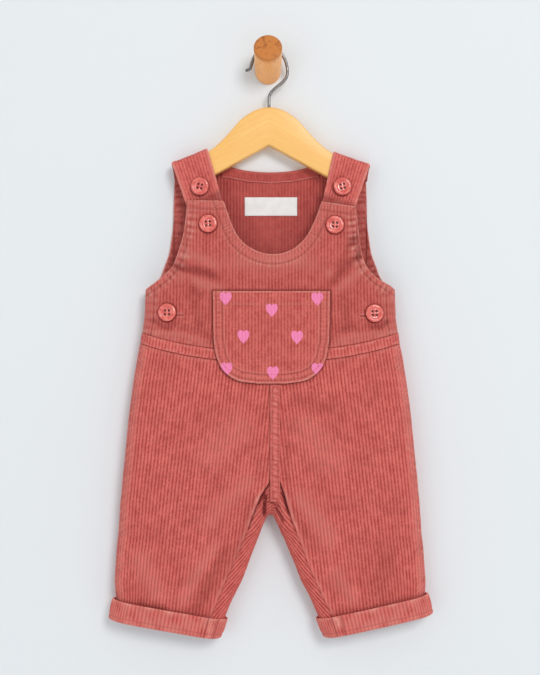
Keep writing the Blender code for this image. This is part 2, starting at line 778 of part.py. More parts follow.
def hem_loop(width, depth, count, grow):
    """Points round a leg in the plane of its hem, moved out by grow, closer at the tight turns.

    The first number runs from the leg's outer side to its inner side, the second from the
    middle plane, front negative.
    """
    run = width * (1 - np.cos(np.linspace(0, math.pi, 1200))) / 2
    rise = depth * edge_rise(run) * edge_rise(width - run)
    places = np.concatenate([run, run[-2:0:-1]])
    offsets = np.concatenate([-rise, rise[-2:0:-1]])
    step = np.stack([np.roll(v, -1) - v for v in (places, offsets)])
    heading = np.unwrap(np.arctan2(step[1], step[0]))
    turned = np.abs(np.diff(heading, append=heading[0] + np.sign(heading[-1]) * 2 * math.pi))
    weight = np.hypot(*step) + CUFF_CROWDING * np.clip(turned, 0, 1)
    walked = np.concatenate([[0], np.cumsum(weight)])
    even = np.linspace(0, walked[-1], count, endpoint=False)
    spots = [np.interp(even, walked, np.append(v, v[0])) for v in (places, offsets)]
    tangent = np.stack([np.roll(v, -1) - np.roll(v, 1) for v in spots])
    tangent /= np.linalg.norm(tangent, axis=0)
    return spots[0] + tangent[1] * grow, spots[1] - tangent[0] * grow


def ring_strips(starts, count):
    """Faces between neighbouring closed rings of one count, given where each starts."""
    faces = []
    for a, b in zip(starts, starts[1:]):
        for k in range(count):
            after = (k + 1) % count
            faces.append((a + k, a + after, b + after, b + k))
    return faces


def cuff(name, leg, collection):
    """A turn-up: its outer wall, the fold at the bottom and a short way up inside."""
    outer_end, inner_end = np.array(CUFFS[leg]["outer"]), np.array(CUFFS[leg]["inner"])
    width = np.linalg.norm(inner_end - outer_end)
    across = (inner_end - outer_end) / width
    down = np.array([across[1], -across[0]])
    down *= -np.sign(down[1])
    hem = outer_end[1] - CUFF_HEIGHT
    depth = float(half_depth(hem))

    def ring(count, grow, level):
        """One ring of points at a level below the cuff's top line."""
        places, offsets = hem_loop(width, depth, count, grow)
        spot = outer_end + np.outer(places, across) + down * level
        return np.stack([spot[:, 0], middle_plane(hem) + offsets, spot[:, 1]], axis=-1)

    around = 2 * (width + depth) + CUFF_CROWDING * 2 * math.pi
    coarse = round(around / CUFF_WALE * 2 / CUFF_STEP)
    fine = coarse * CUFF_STEP
    out = CUFF_GAP + CLOTH + 0.2
    far_in = -2 * CLOTH - CUFF_GAP
    near_in = -CLOTH - CUFF_GAP
    drop = wales(fine)
    ribbed = [(out, 0.0), (out + 0.2, CUFF_HEIGHT - 1.2)]
    plain = [
        (out - 1.4, CUFF_HEIGHT),
        (far_in + 0.5, CUFF_HEIGHT - 0.3),
        (far_in, CUFF_TUCK - 3.0),
        (near_in, CUFF_TUCK - 3.0),
        (near_in, CUFF_HEIGHT - 2.2),
        (CUFF_GAP, CUFF_HEIGHT - 2.2),
        (CUFF_GAP, 0.0),
    ]
    rings = [ring(fine, grow - drop, level) for grow, level in ribbed]
    rings += [ring(coarse, grow, level) for grow, level in plain]
    starts = np.concatenate([[0], np.cumsum([len(r) for r in rings])]).tolist()
    faces = ring_strips(starts[:2], fine) + ring_strips(starts[2:-1], coarse)
    for fine_start, coarse_start in ((starts[1], starts[2]), (0, starts[-2])):
        chain = [fine_start + k % fine for k in range(fine + 1)]
        inner_chain = [coarse_start + k % coarse for k in range(coarse + 1)]
        faces += zip_rim(chain, inner_chain, fine // coarse)
    made = mesh_object(name, np.concatenate(rings), faces, collection, "cord_coral")
    made.location.x = GARMENT_X * MM
    return made


def button_profile():
    """Half of a button's section, from its rim to its dished middle and round its back."""
    r, t = BUTTON_RADIUS, BUTTON_THICK
    return [
        (0.0, t - 0.9),
        (r * 0.56, t - 0.9),
        (r * 0.68, t - 0.15),
        (r * 0.86, t),
        (r, t * 0.45),
        (r * 0.9, 0.15),
        (0.0, 0.0),
    ]


def button(name, x, height, lift, collection, cutters):
    """A four-hole button: a turned disc, drilled, and set square to the cloth."""
    profile = bpy.data.meshes.new(name)
    points = [(radius * MM, 0.0, level * MM) for radius, level in button_profile()]
    profile.from_pydata(points, [(k, k + 1) for k in range(len(points) - 1)], [])
    made = add_object(name, profile, collection, "button_coral")
    turn = made.modifiers.new("turn", "SCREW")
    turn.axis = "Z"
    turn.steps = 16
    turn.render_steps = 16
    turn.use_merge_vertices = True
    turn.merge_threshold = 0.00001
    turn.use_normal_calculate = True
    drill_mesh = bpy.data.meshes.new(name + "_drill")
    drill = bmesh.new()
    for quarter in range(4):
        angle = math.radians(45 + 90 * quarter)
        offset = BUTTON_HOLE_OFFSET * MM * math.sqrt(2)
        place = Matrix.Translation((offset * math.cos(angle), offset * math.sin(angle), 0))
        bmesh.ops.create_cone(
            drill,
            cap_ends=True,
            segments=6,
            radius1=BUTTON_HOLE_RADIUS * MM,
            radius2=BUTTON_HOLE_RADIUS * MM,
            depth=BUTTON_THICK * 4 * MM,
            matrix=place,
        )
    drill.to_mesh(drill_mesh)
    drill.free()
    cutter = bpy.data.objects.new(name + "_drill", drill_mesh)
    cutter.hide_render = True
    cutter.display_type = "WIRE"
    cutters.objects.link(cutter)
    cut = made.modifiers.new("holes", "BOOLEAN")
    cut.operation = "DIFFERENCE"
    cut.solver = "EXACT"
    cut.object = cutter
    place = surface_points(np.array(x), np.array(float(height)), -1)
    normal = surface_normals(np.array(x), np.array(float(height)), -1)
    seat = Vector((place + normal * lift) * MM) + Vector((GARMENT_X * MM, 0, 0))
    facing = Vector(normal).to_track_quat("Z", "Y").to_matrix().to_4x4()
    made.matrix_world = Matrix.Translation(seat) @ facing
    cutter.matrix_world = made.matrix_world
    return made


def mesh_from_curve(made, collection):
    """The curve's evaluated shape as a mesh object in its place, its caps welded."""
    bpy.context.view_layer.update()
    evaluated = made.evaluated_get(bpy.context.evaluated_depsgraph_get())
    mesh = bpy.data.meshes.new_from_object(evaluated)
    mesh.name = made.name
    weld = bmesh.new()
    weld.from_mesh(mesh)
    bmesh.ops.remove_doubles(weld, verts=weld.verts[:], dist=1e-6)
    bmesh.ops.recalc_face_normals(weld, faces=weld.faces[:])
    weld.to_mesh(mesh)
    weld.free()
    name, place = made.name, made.matrix_world.copy()
    bpy.data.objects.remove(made)
    solid = bpy.data.objects.new(name, mesh)
    solid.matrix_world = place
    collection.objects.link(solid)
    return solid


def hanger(collection, cutters):
    """The flat wooden hanger, with a socket in its crest for the hook."""
    right = [(x, z) for x, z in HANGER_TOP]
    left = [(-x, z) for x, z in reversed(HANGER_TOP[1:])]
    outline_points = right + [HANGER_NOTCH] + left
    curve = bpy.data.curves.new("hanger_wood", "CURVE")
    curve.dimensions = "2D"
    curve.fill_mode = "BOTH"
    curve.extrude = (HANGER_THICK / 2 - HANGER_BEVEL) * MM
    curve.bevel_depth = HANGER_BEVEL * MM
    curve.bevel_resolution = 1
    curve.offset = -HANGER_BEVEL * MM
    spline = curve.splines.new("POLY")
    spline.points.add(len(outline_points) - 1)
    for point, (x, z) in zip(spline.points, outline_points):
        point.co = (x * MM, z * MM, 0, 1)
    spline.use_cyclic_u = True
    board = add_object("hanger_wood", curve, collection, "hanger_beech")
    board.rotation_euler = (math.pi / 2, 0, 0)
    board.location = (HANGER_X * MM, HANGER_PLANE * MM, 0)
    solid = mesh_from_curve(board, collection)
    socket_mesh = bpy.data.meshes.new("hanger_socket")
    drill = bmesh.new()
    top = HANGER_TOP[0][1]
    bmesh.ops.create_cone(
        drill,
        cap_ends=True,
        segments=10,
        radius1=(HOOK_RADIUS + 0.35) * MM,
        radius2=(HOOK_RADIUS + 0.35) * MM,
        depth=HOOK_SOCKET_DEPTH * 2 * MM,
        matrix=Matrix.Translation((HANGER_X * MM, HANGER_PLANE * MM, top * MM)),
    )
    drill.to_mesh(socket_mesh)
    drill.free()
    socket = bpy.data.objects.new("hanger_socket", socket_mesh)
    socket.hide_render = True
    socket.display_type = "WIRE"
    cutters.objects.link(socket)
    cut = solid.modifiers.new("socket", "BOOLEAN")
    cut.operation = "DIFFERENCE"
    cut.solver = "EXACT"
    cut.object = socket
    return solid


def hook(collection):
    """The hanger's wire hook, over the peg and down into the socket."""
    curve = bpy.data.curves.new("hanger_hook", "CURVE")
    curve.dimensions = "3D"
    curve.bevel_depth = HOOK_RADIUS * MM
    curve.bevel_resolution = 1
    curve.use_fill_caps = True
    spline = curve.splines.new("POLY")
    spline.points.add(len(HOOK_ROUTE) - 1)
    for point, (x, z) in zip(spline.points, HOOK_ROUTE):
        point.co = ((x + HANGER_X) * MM, HANGER_PLANE * MM, z * MM, 1)
    return add_object("hanger_hook", curve, collection, "hook_steel")


def peg(collection):
    """The round peg: tilted up, its flat end on the wall plane, its free edge eased."""
    body = bmesh.new()
    spare = 12.0
    axis = Vector((0, -math.cos(PEG_TILT), math.sin(PEG_TILT)))
    centre = axis * ((PEG_LENGTH - spare) / 2 * MM)
    facing = axis.to_track_quat("Z", "X").to_matrix().to_4x4()
    bmesh.ops.create_cone(
        body,
        cap_ends=True,
        segments=32,
        radius1=PEG_WALL_RADIUS * MM,
        radius2=PEG_END_RADIUS * MM,
        depth=(PEG_LENGTH + spare) * MM,
        matrix=Matrix.Translation(centre) @ facing,
    )
    tip = axis * (PEG_LENGTH * MM)
    rim = [e for e in body.edges if all((v.co - tip).dot(axis) > -1e-6 for v in e.verts)]
    bmesh.ops.bevel(body, geom=rim, offset=PEG_BEVEL * MM, segments=2, affect="EDGES", profile=0.5)
    geometry = body.verts[:] + body.edges[:] + body.faces[:]
    cut = bmesh.ops.bisect_plane(
        body,
        geom=geometry,
        plane_co=(0, 0, 0),
        plane_no=(0, 1, 0),
        clear_outer=True,
    )
    ring = [e for e in cut["geom_cut"] if isinstance(e, bmesh.types.BMEdge)]
    bmesh.ops.edgeloop_fill(body, edges=ring)
    bmesh.ops.recalc_face_normals(body, faces=body.faces[:])
    mesh = bpy.data.meshes.new("wall_peg")
    body.to_mesh(mesh)
    body.free()
    made = add_object("wall_peg", mesh, collection, "peg_oak")
    mesh.shade_smooth()
    mesh.set_sharp_from_angle(angle=math.radians(40))
    return made


def build():
    for leftover in list(bpy.data.objects):
        bpy.data.objects.remove(leftover)
    garment = bpy.data.collections.new("baby_dungarees")
    cutters = bpy.data.collections.new("cutters")
    bpy.context.scene.collection.children.link(garment)
    bpy.context.scene.collection.children.link(cutters)

    front_keys = (-77.9, -76.5, -44.2, 47.8, 80.0, 81.0)
    back_keys = (-92.2, -91.6, -59.0, 59.0, 91.6, 92.2)
    whole_back = {
        "across": np.concatenate([BACK_EDGE["across"], -BACK_EDGE["across"][-2::-1]]),
        "height": np.concatenate([BACK_EDGE["height"], BACK_EDGE["height"][-2::-1]]),
    }
    bib("bib_front", -1, FRONT_EDGE, front_keys, 4, garment)
    bib("bib_back", 1, whole_back, back_keys, 3, garment)
    waistband("waistband_front", -1, garment)
    waistband("waistband_back", 1, garment)
    for leg in ("left", "right"):
        trouser("trouser_front_" + leg, leg, -1, 4, garment)
        trouser("trouser_back_" + leg, leg, 1, 4, garment)
        inleg("inleg_" + leg, leg, garment)
        cuff("cuff_" + leg, leg, garment)
    strap("strap_left", -1, garment)
    strap("strap_right", 1, garment)
    centre_fell("centre_front_fell", garment)
    pocket("pocket", garment)

    x = np.linspace(-FACING_HALF_WIDTH, FACING_HALF_WIDTH, 13)
    top = np.interp(x, whole_back["across"], whole_back["height"]) - FACING_BELOW_EDGE
    inner_patch("neck_facing_back", x, top - FACING_HEIGHT, top, 1.0, garment, "cord_coral")
    x = np.linspace(LABEL_LEFT, LABEL_LEFT + LABEL_WIDTH, 5)
    top = np.full(5, LABEL_TOP)
    inner_patch("label", x, top - LABEL_HEIGHT, top, LABEL_THICK, garment, "label_white")

    for name, x, height in BUTTONS:
        lift = STRAP_BUTTON_LIFT if "strap" in name else BUTTON_LIFT
        button(name, x, height, lift, garment, cutters)
    hanger(garment, cutters)
    hook(garment)
    peg(garment)


build()
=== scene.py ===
# %% [markdown]
# # Baby dungarees on a wooden hanger
#
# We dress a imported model: small dungarees in wide-rib corduroy, hung from a wooden hanger
# on a round wall peg.  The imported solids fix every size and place.  Here each piece of
# cloth is woven again as a fine surface, with its ribs, seams, stitches and folds, and
# each hard piece gets its real section and finish.
#
# The frame is the solids' own: +Z up, the wall is the plane y = 0, the front faces -Y.
# All lengths below are millimetres and become metres when a mesh is made.

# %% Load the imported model
import math
import bpy
import numpy as np
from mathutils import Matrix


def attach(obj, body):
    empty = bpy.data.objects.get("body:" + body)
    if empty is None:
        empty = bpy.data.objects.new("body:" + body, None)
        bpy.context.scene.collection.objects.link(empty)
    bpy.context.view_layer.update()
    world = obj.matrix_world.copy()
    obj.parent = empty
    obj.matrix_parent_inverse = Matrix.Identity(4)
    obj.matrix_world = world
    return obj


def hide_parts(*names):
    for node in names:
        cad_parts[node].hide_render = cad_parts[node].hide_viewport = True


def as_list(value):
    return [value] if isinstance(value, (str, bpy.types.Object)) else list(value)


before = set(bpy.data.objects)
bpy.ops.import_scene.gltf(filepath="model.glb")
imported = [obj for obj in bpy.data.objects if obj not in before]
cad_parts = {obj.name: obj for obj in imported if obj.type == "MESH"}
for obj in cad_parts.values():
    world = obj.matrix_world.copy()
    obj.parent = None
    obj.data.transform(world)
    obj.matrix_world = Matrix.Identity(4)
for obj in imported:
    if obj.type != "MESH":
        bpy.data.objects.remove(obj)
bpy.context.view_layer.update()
MM = 0.001

# %% [markdown]
# ## The camera, the light and the wall
#
# The picture was taken square on, from a little over a metre, with the lens level with
# the garment's middle.  A large soft lamp stands to the upper right, so that the cloth
# throws a faint shade to the lower left.  The wall must not hide the back when someone
# walks round behind it, so its paint is clear when it is seen from behind.

# %% Camera
CAMERA_PLACE = (1.9, -1130.0, -254.5)
PICTURE = (540, 675)
FOCAL_PIXELS = 1182.8
SENSOR = 36.0

camera_data = bpy.data.cameras.new("camera")
camera_data.sensor_width = SENSOR
camera_data.lens = FOCAL_PIXELS * SENSOR / max(PICTURE)
camera_data.clip_start = 0.01
camera = bpy.data.objects.new("camera", camera_data)
camera.location = [v * MM for v in CAMERA_PLACE]
camera.rotation_euler = (math.pi / 2, 0, 0)
bpy.context.scene.collection.objects.link(camera)
bpy.context.scene.camera = camera
bpy.context.scene.view_settings.view_transform = "Standard"
print("lens", round(camera_data.lens, 2), "mm")

# %% Lamps
LAMPS = [
    # name, place, aimed at, side, watts
    ("key", (1250, -3600, 1350), (0, 0, -260), 1300, 69.0),
    ("fill", (-1700, -2600, -400), (0, 0, -260), 1800, 10.0),
    ("back_fill", (300, 1200, 300), (0, 0, -260), 1500, 8.0),
]
for name, place, aim, side, watts in LAMPS:
    lamp_data = bpy.data.lights.new(name, "AREA")
    lamp_data.size = side * MM
    lamp_data.energy = watts
    lamp = bpy.data.objects.new(name, lamp_data)
    lamp.location = [v * MM for v in place]
    direction = np.array(aim) - np.array(place)
    lamp.rotation_euler = (
        math.atan2(math.hypot(direction[0], direction[1]), -direction[2]),
        0,
        math.atan2(direction[1], direction[0]) - math.pi / 2,
    )
    bpy.context.scene.collection.objects.link(lamp)

world = bpy.data.worlds.new("studio")
world.use_nodes = True
world.node_tree.nodes["Background"].inputs["Color"].default_value = (0.97, 0.985, 1.0, 1)
world.node_tree.nodes["Background"].inputs["Strength"].default_value = 0.58
bpy.context.scene.world = world
print(len(LAMPS), "lamps")

# %% [markdown]
# ## Small tools
#
# Every surface here is a numpy array of points on a two-parameter grid.  One function puts
# such arrays into a mesh all at once, and another joins a fine chain of points to a coarse
# one, which is how the ribbed outside of a piece of cloth meets its plain inside.

# %% Arrays into meshes
# Marks that a cloth's finish reads: how deep in a groove a point is, whose darker colour is partly painted
# shade; how pale it is, for real wear at folded edges and for painted highlight on ridges and puckers; and
# how much painted shade it has in creases, seams and hollows.
MARKS = ("groove", "rub", "shade")


def enclosed(points, faces):
    """Signed volume: the sum of a . (b x c) / 6 over all triangles, above 0 when faces look out."""
    fans = [(f[:, 0], f[:, k], f[:, k + 1]) for f in faces for k in range(1, f.shape[1] - 1)]
    return sum(np.sum(points[a] * np.cross(points[b], points[c])) / 6 for a, b, c in fans)


def piece(name, points, faces, finish, uv=None, smooth=True, closed=True, **marks):
    """A mesh object from points in millimetres and faces as arrays of 3 or 4 indices.

    uv holds two lengths in millimetres for each point, stored as metres.  Each mark is one
    number for each point, kept as an attribute that the finish reads.  The faces of a closed
    piece are turned to look outwards.
    """
    points = np.asarray(points, dtype=np.float64).reshape(-1, 3) * MM
    faces = [np.asarray(f, dtype=np.int32) for f in faces]
    if closed and enclosed(points, faces) < 0:
        faces = [f[:, ::-1] for f in faces]
    corners = np.concatenate([f.ravel() for f in faces])
    counts = np.concatenate([np.full(len(f), f.shape[1], dtype=np.int32) for f in faces])
    mesh = bpy.data.meshes.new(name)
    mesh.vertices.add(len(points))
    mesh.vertices.foreach_set("co", points.ravel())
    mesh.loops.add(len(corners))
    mesh.loops.foreach_set("vertex_index", corners)
    mesh.polygons.add(len(counts))
    starts = np.concatenate([[0], np.cumsum(counts)[:-1]]).astype(np.int32)
    mesh.polygons.foreach_set("loop_start", starts)
    if uv is not None:
        layer = mesh.uv_layers.new(name="cloth")
        flat = np.asarray(uv, dtype=np.float64).reshape(-1, 2)[corners] * MM
        layer.data.foreach_set("uv", flat.ravel())
    for mark, values in marks.items():
        values = np.broadcast_to(np.asarray(values, dtype=np.float64).ravel(), len(points))
        store = mesh.attributes.new(mark, "FLOAT", "POINT")
        store.data.foreach_set("value", np.ascontiguousarray(values, dtype=np.float32))
    mesh.update(calc_edges=True)
    mesh.validate()
    mesh.polygons.foreach_set("use_smooth", np.full(len(mesh.polygons), smooth))
    made = bpy.data.objects.new(name, mesh)
    bpy.context.scene.collection.objects.link(made)
    mesh.materials.append(finish)
    return made


def numbered(columns, rows, first=0):
    """A grid of point numbers: point (i, j) has the number first + i * rows + j."""
    return first + np.arange(columns * rows).reshape(columns, rows)


def quads_of(numbers):
    """Quads between the neighbours in a grid of point numbers."""
    a, b, c, d = numbers[:-1, :-1], numbers[1:, :-1], numbers[1:, 1:], numbers[:-1, 1:]
    return np.stack([a, b, c, d], axis=-1).reshape(-1, 4)


def zip_chains(fine, coarse):
    """Triangles between a fine chain of point numbers and a coarse one beside it."""
    fine, coarse = np.asarray(fine), np.asarray(coarse)
    share = (len(coarse) - 1) / (len(fine) - 1)
    owner = np.floor(np.arange(len(fine)) * share + 0.5).astype(int)
    ears = np.stack([fine[:-1], fine[1:], coarse[owner[1:]]], axis=-1)
    turns = owner[1:] != owner[:-1]
    fans = np.stack([fine[:-1], coarse[owner[1:]], coarse[owner[:-1]]], axis=-1)[turns]
    return np.concatenate([ears, fans])


def wall_faces(outer, inner):
    """Faces of a closed wall between two skins, each given as a grid of point numbers."""
    edges = [
        zip_chains(outer[:, 0], inner[:, 0])[:, ::-1], zip_chains(outer[:, -1], inner[:, -1]),
        zip_chains(outer[0], inner[0]), zip_chains(outer[-1], inner[-1])[:, ::-1],
    ]
    return [quads_of(outer), quads_of(inner)[:, ::-1]] + edges


def tube_faces(numbers):
    """Faces of a grid closed round its second parameter, with a fan to one more point at each end."""
    def fan(tip, ring):
        return np.stack([np.full(len(ring), tip), ring, np.roll(ring, -1)], axis=-1)
    closed = np.pad(numbers, ((0, 0), (0, 1)), mode="wrap")
    return [quads_of(closed), fan(numbers.size, numbers[0]), fan(numbers.size + 1, numbers[-1])[:, ::-1]]


def held(value):
    """A value held between 0 and 1."""
    return np.clip(value, 0, 1)


def unit(vectors):
    """Vectors divided by their own lengths."""
    return vectors / np.linalg.norm(vectors, axis=-1, keepdims=True)


def lengths_along(*lines):
    """Length from the first point to each point: a running sum of sqrt(dx^2 + dy^2 + ...)."""
    return np.concatenate([[0], np.cumsum(np.linalg.norm([np.diff(v) for v in lines], axis=0))])


print("tools ready")

# %% [markdown]
# ## The form that the cloth hangs in
#
# The dungarees hang almost flat, as a slim hollow: each half is a wall whose depth rises
# from the side seam in a quarter ellipse and then swells gently to the middle.  The same
# few sizes made the solids, so the cloth lies where they do.  Columns of the weave follow
# the wales, so we measure along the cloth from the side seam rather than straight across.

# %% Sizes of the hanging form
CLOTH = 1.6
GARMENT_X = 2.2
HANGER_X = 1.0
HANGER_PLANE = -11.0
BIB_HALF_WIDTH = 117.5
EDGE_ROUND, CROWN_REACH, CROWN_SHARE = 14.0, 45.0, 0.22
WAIST_SIDE_TOP, WAIST_MIDDLE_TOP, WAIST_HEIGHT, WAIST_SAG_POWER = -250.0, -267.5, 9.8, 2.2
WAIST_PROUD = 0.6
SEAM_GAP = 0.3
FORK_TOP, FORK_BACK = -388.3, -405.3


def table(names, rows):
    """A short table as a dict: one array for each named column."""
    return dict(zip(names.split(), np.array(rows, dtype=float).T))


DEPTHS = table("height half_depth clearance", [
    (-550, 12.0, 4.6), (-490, 12.0, 4.4), (-450, 13.5, 2.4), (-420, 15.0, 1.5),
    (-390, 16.0, 1.5), (-330, 16.0, 1.5), (-260, 14.5, 1.5), (-210, 13.5, 1.5),
    (-170, 12.5, 1.5), (-130, 11.2, 1.5), (-100, 10.4, 1.5), (-60, 10.2, 1.5),
])
OUTLINE = table("height left_outer left_inner left_seam right_seam right_inner right_outer", [
    (-545, -152.2, -48.0, -62.5, 65.8, 51.8, 155.0),
    (-529, -149.8, -45.0, -59.3, 62.1, 48.4, 152.0),
    (-519, -148.2, -43.1, -56.5, 59.0, 46.4, 149.8),
    (-509, -146.6, -39.0, -52.7, 54.7, 42.0, 147.7),
    (-498, -145.2, -34.4, -48.1, 49.4, 36.9, 145.5),
    (-483, -146.3, -26.7, -42.0, 42.5, 28.9, 145.7),
    (-468, -145.3, -21.0, -35.0, 36.0, 23.3, 144.8),
    (-453, -144.4, -15.4, -28.3, 30.6, 16.7, 143.8),
    (-438, -142.5, -9.7, -22.3, 24.8, 10.1, 141.9),
    (-430, -142.1, -6.9, -19.6, 22.0, 7.2, 141.5),
    (-422, -141.6, -3.8, -17.0, 19.0, 3.8, 141.0),
    (-407, -140.6, 0.0, -11.2, 14.9, 0.0, 140.0),
    (-400, -139.6, 0.0, -8.0, 12.9, 0.0, 139.1),
    (-388.3, -138.6, 0.0, -0.15, 9.4, 0.0, 138.0),
    (-384, -138.2, 0.0, -0.15, 0.15, 0.0, 137.7),
    (-362, -135.9, 0.0, -0.15, 0.15, 0.0, 135.3),
    (-332, -133.1, 0.0, -0.15, 0.15, 0.0, 132.5),
    (-302, -129.3, 0.0, -0.15, 0.15, 0.0, 128.7),
    (-272, -124.6, 0.0, -0.15, 0.15, 0.0, 124.0),
    (-257, -121.4, 0.0, -0.15, 0.15, 0.0, 121.0),
    (-235, -118.6, 0.0, -0.15, 0.15, 0.0, 118.2),
    (-209, -117.5, 0.0, -0.15, 0.15, 0.0, 117.4),
    (-60, -117.5, 0.0, -0.15, 0.15, 0.0, 117.4),
])
BACK_SEAM = table("height across", [
    (-545, 63.0), (-529, 59.4), (-519, 57.0), (-509, 52.4), (-498, 46.8), (-483, 38.6),
    (-453, 25.4), (-438, 18.7), (-430, 16.0), (-422, 13.0), (-411, 6.5), (-405.3, 0.15),
    (-60, 0.15),
])
print("form rows:", len(OUTLINE["height"]))


# %% Depth and surface of the hanging form
def edge_rise(distance):
    """Share of the depth at a distance in from a side.

    Near the side it is a quarter ellipse, sqrt(1 - (1 - d / 14)^2); a crown factor
    1 - 0.22 (1 - d / 45)^2 lets it swell on towards the middle.
    """
    near = 1 - held(distance / EDGE_ROUND)
    crown = 1 - held(distance / CROWN_REACH)
    return np.sqrt(1 - near**2) * (1 - CROWN_SHARE * crown**2)


def walk_table(depth=14.0):
    """Distance in from a side against length walked along the cloth from that side."""
    turn = EDGE_ROUND * (1 - np.cos(np.linspace(0, math.pi / 2, 60)))
    distance = np.concatenate([turn, np.linspace(EDGE_ROUND, 170, 300)[1:]])
    return lengths_along(distance, depth * edge_rise(distance)), distance


WALKED, DISTANCE = walk_table()


def inward(walked):
    return np.interp(walked, WALKED, DISTANCE)


def along(distance):
    return np.interp(distance, DISTANCE, WALKED)


def half_depth(height):
    return np.interp(height, DEPTHS["height"], DEPTHS["half_depth"])


def middle_plane(height):
    """y of the side seams, half a depth in front of the garment's back."""
    clearance = np.interp(height, DEPTHS["height"], DEPTHS["clearance"])
    return -clearance - half_depth(height)


def outline(column, height):
    return np.interp(height, OUTLINE["height"], OUTLINE[column])


def back_seam(height):
    """How far out from the middle the back legs' inside seam runs."""
    return np.interp(height, BACK_SEAM["height"], BACK_SEAM["across"])


def rise_at(x, height):
    outer = np.where(x < 0, outline("left_outer", height), outline("right_outer", height))
    inner = np.where(x < 0, outline("left_inner", height), outline("right_inner", height))
    low = held((-360 - height) / 60)
    crown = 1 - held(np.abs(inner - x) / CROWN_REACH)
    return edge_rise(np.abs(outer - x)) * (1 - low * CROWN_SHARE * crown**2)


def surface_y(x, height, side):
    """y of the plain outer surface; side is -1 for the front and 1 for the back."""
    return middle_plane(height) + side * half_depth(height) * rise_at(x, height)


def surface_normals(x, height, side):
    """Outward normals, from small steps across and down the surface."""
    step = 0.05
    slope_x = (surface_y(x + step, height, side) - surface_y(x - step, height, side)) / (2 * step)
    slope_z = (surface_y(x, height + step, side) - surface_y(x, height - step, side)) / (2 * step)
    normals = np.stack([-slope_x, np.ones_like(slope_x), -slope_z], axis=-1) * side
    return unit(normals)


def waist_top(x):
    """The waistband's upper line: a sag of 17.5 mm, as the 2.2nd power of the way to a side."""
    share = np.clip(np.abs(x) / BIB_HALF_WIDTH, 0, 1.05) ** WAIST_SAG_POWER
    return WAIST_MIDDLE_TOP + (WAIST_SIDE_TOP - WAIST_MIDDLE_TOP) * share


def widened(x, height):
    """Places set for the underarm's width, moved out where the sides spread below it."""
    left = outline("left_outer", height) / -BIB_HALF_WIDTH
    right = outline("right_outer", height) / BIB_HALF_WIDTH
    return x * np.where(x < 0, left, right)


def soft_noise(x, z, size, seed):
    """Smooth unevenness between about -1 and 1, a sum of nine sine waves of one rough size."""
    draw = np.random.default_rng(seed)
    total = np.zeros(np.broadcast(x, z).shape)
    for turn, stretch, phase in draw.uniform(0, 1, (9, 3)):
        angle, pitch = turn * 2 * math.pi, size * (0.7 + 0.9 * stretch)
        total += np.sin((x * math.cos(angle) + z * math.sin(angle)) / pitch * 2 * math.pi + 9 * phase)
    return total / 4.0


print("half depth at the waist:", half_depth(-260.0), "mm")

# %% [markdown]
# ## Finishes
#
# Corduroy is a plain cotton ground with tufts that stand in rows.  The tops of the rows,
# the wales, catch the light and are a little faded; they are painted paler as painted
# highlight, and the grooves between are painted deep red as painted shade.  Where an edge
# is folded, washing rubs the tops pale, and ridges of folds and puckers get painted
# highlight with it.  The weaver's marks for these, how deep in a groove a point is, how pale
# it is and how much painted shade it has, are stored on the mesh and read here.
#
# Effects that several finishes share are node groups, with named sockets.


# %% Node helpers
def new_finish(name, **constants):
    """A material with one Principled shader whose plain sockets hold the given constants."""
    finish = bpy.data.materials.new(name)
    finish.use_nodes = True
    shader = finish.node_tree.nodes["Principled BSDF"]
    for socket, value in constants.items():
        shader.inputs[socket.replace("_", " ")].default_value = value
    return finish, finish.node_tree, shader


def add(tree, kind, **settings):
    """A node of one kind with its settings."""
    node = tree.nodes.new(kind)
    for key, value in settings.items():
        setattr(node, key, value)
    return node


def join(source, node, socket):
    """A link from a socket, or from a node's first output, to an input of another node."""
    source = source.outputs[0] if hasattr(source, "outputs") else source
    node.id_data.links.new(source, node.inputs[socket])


def filled(kind, values, **settings):
    """A node whose inputs take numbers, colours or links; it stands in the links' own tree."""
    node = add(next(v.id_data for v in values.values() if hasattr(v, "id_data")), kind, **settings)
    for socket, value in values.items():
        if hasattr(value, "id_data"):
            join(value, node, socket)
        else:
            node.inputs[socket].default_value = value
    return node


def maths(operation, a, b=0.5, clamp=False):
    """One Math node; a and b are numbers or sockets."""
    return filled("ShaderNodeMath", {0: a, 1: b}, operation=operation, use_clamp=clamp).outputs[0]


def mixed(share, first, second):
    """A colour between two, by a share from 0 to 1."""
    values = {0: share, 6: first, 7: second}
    return filled("ShaderNodeMix", values, data_type="RGBA", clamp_factor=True).outputs[2]


def remapped(value, low, high, to_low=0.0, to_high=1.0):
    """A value brought from one range to another and held there, eased at both ends."""
    values = {0: value, 1: low, 2: high, 3: to_low, 4: to_high}
    return filled("ShaderNodeMapRange", values, interpolation_type="SMOOTHSTEP").outputs[0]


def noise(place, scale, detail=2.0, roughness=0.5, distortion=0.0):
    """The value of a Noise node read at a place."""
    return filled("ShaderNodeTexNoise", {
        "Vector": place, "Scale": scale, "Detail": detail, "Roughness": roughness, "Distortion": distortion,
    }).outputs[0]


def bumped(shader, height, strength, distance):
    """A Bump node between a height and a shader's normal."""
    values = {"Height": height, "Strength": strength, "Distance": distance}
    join(filled("ShaderNodeBump", values), shader, "Normal")


def object_place(tree):
    return add(tree, "ShaderNodeTexCoord").outputs["Object"]


def cloth_place(tree):
    return add(tree, "ShaderNodeUVMap", uv_map="cloth").outputs[0]


def mark_on(tree, mark):
    """A number stored on the mesh for each point."""
    return add(tree, "ShaderNodeAttribute", attribute_name=mark).outputs["Fac"]


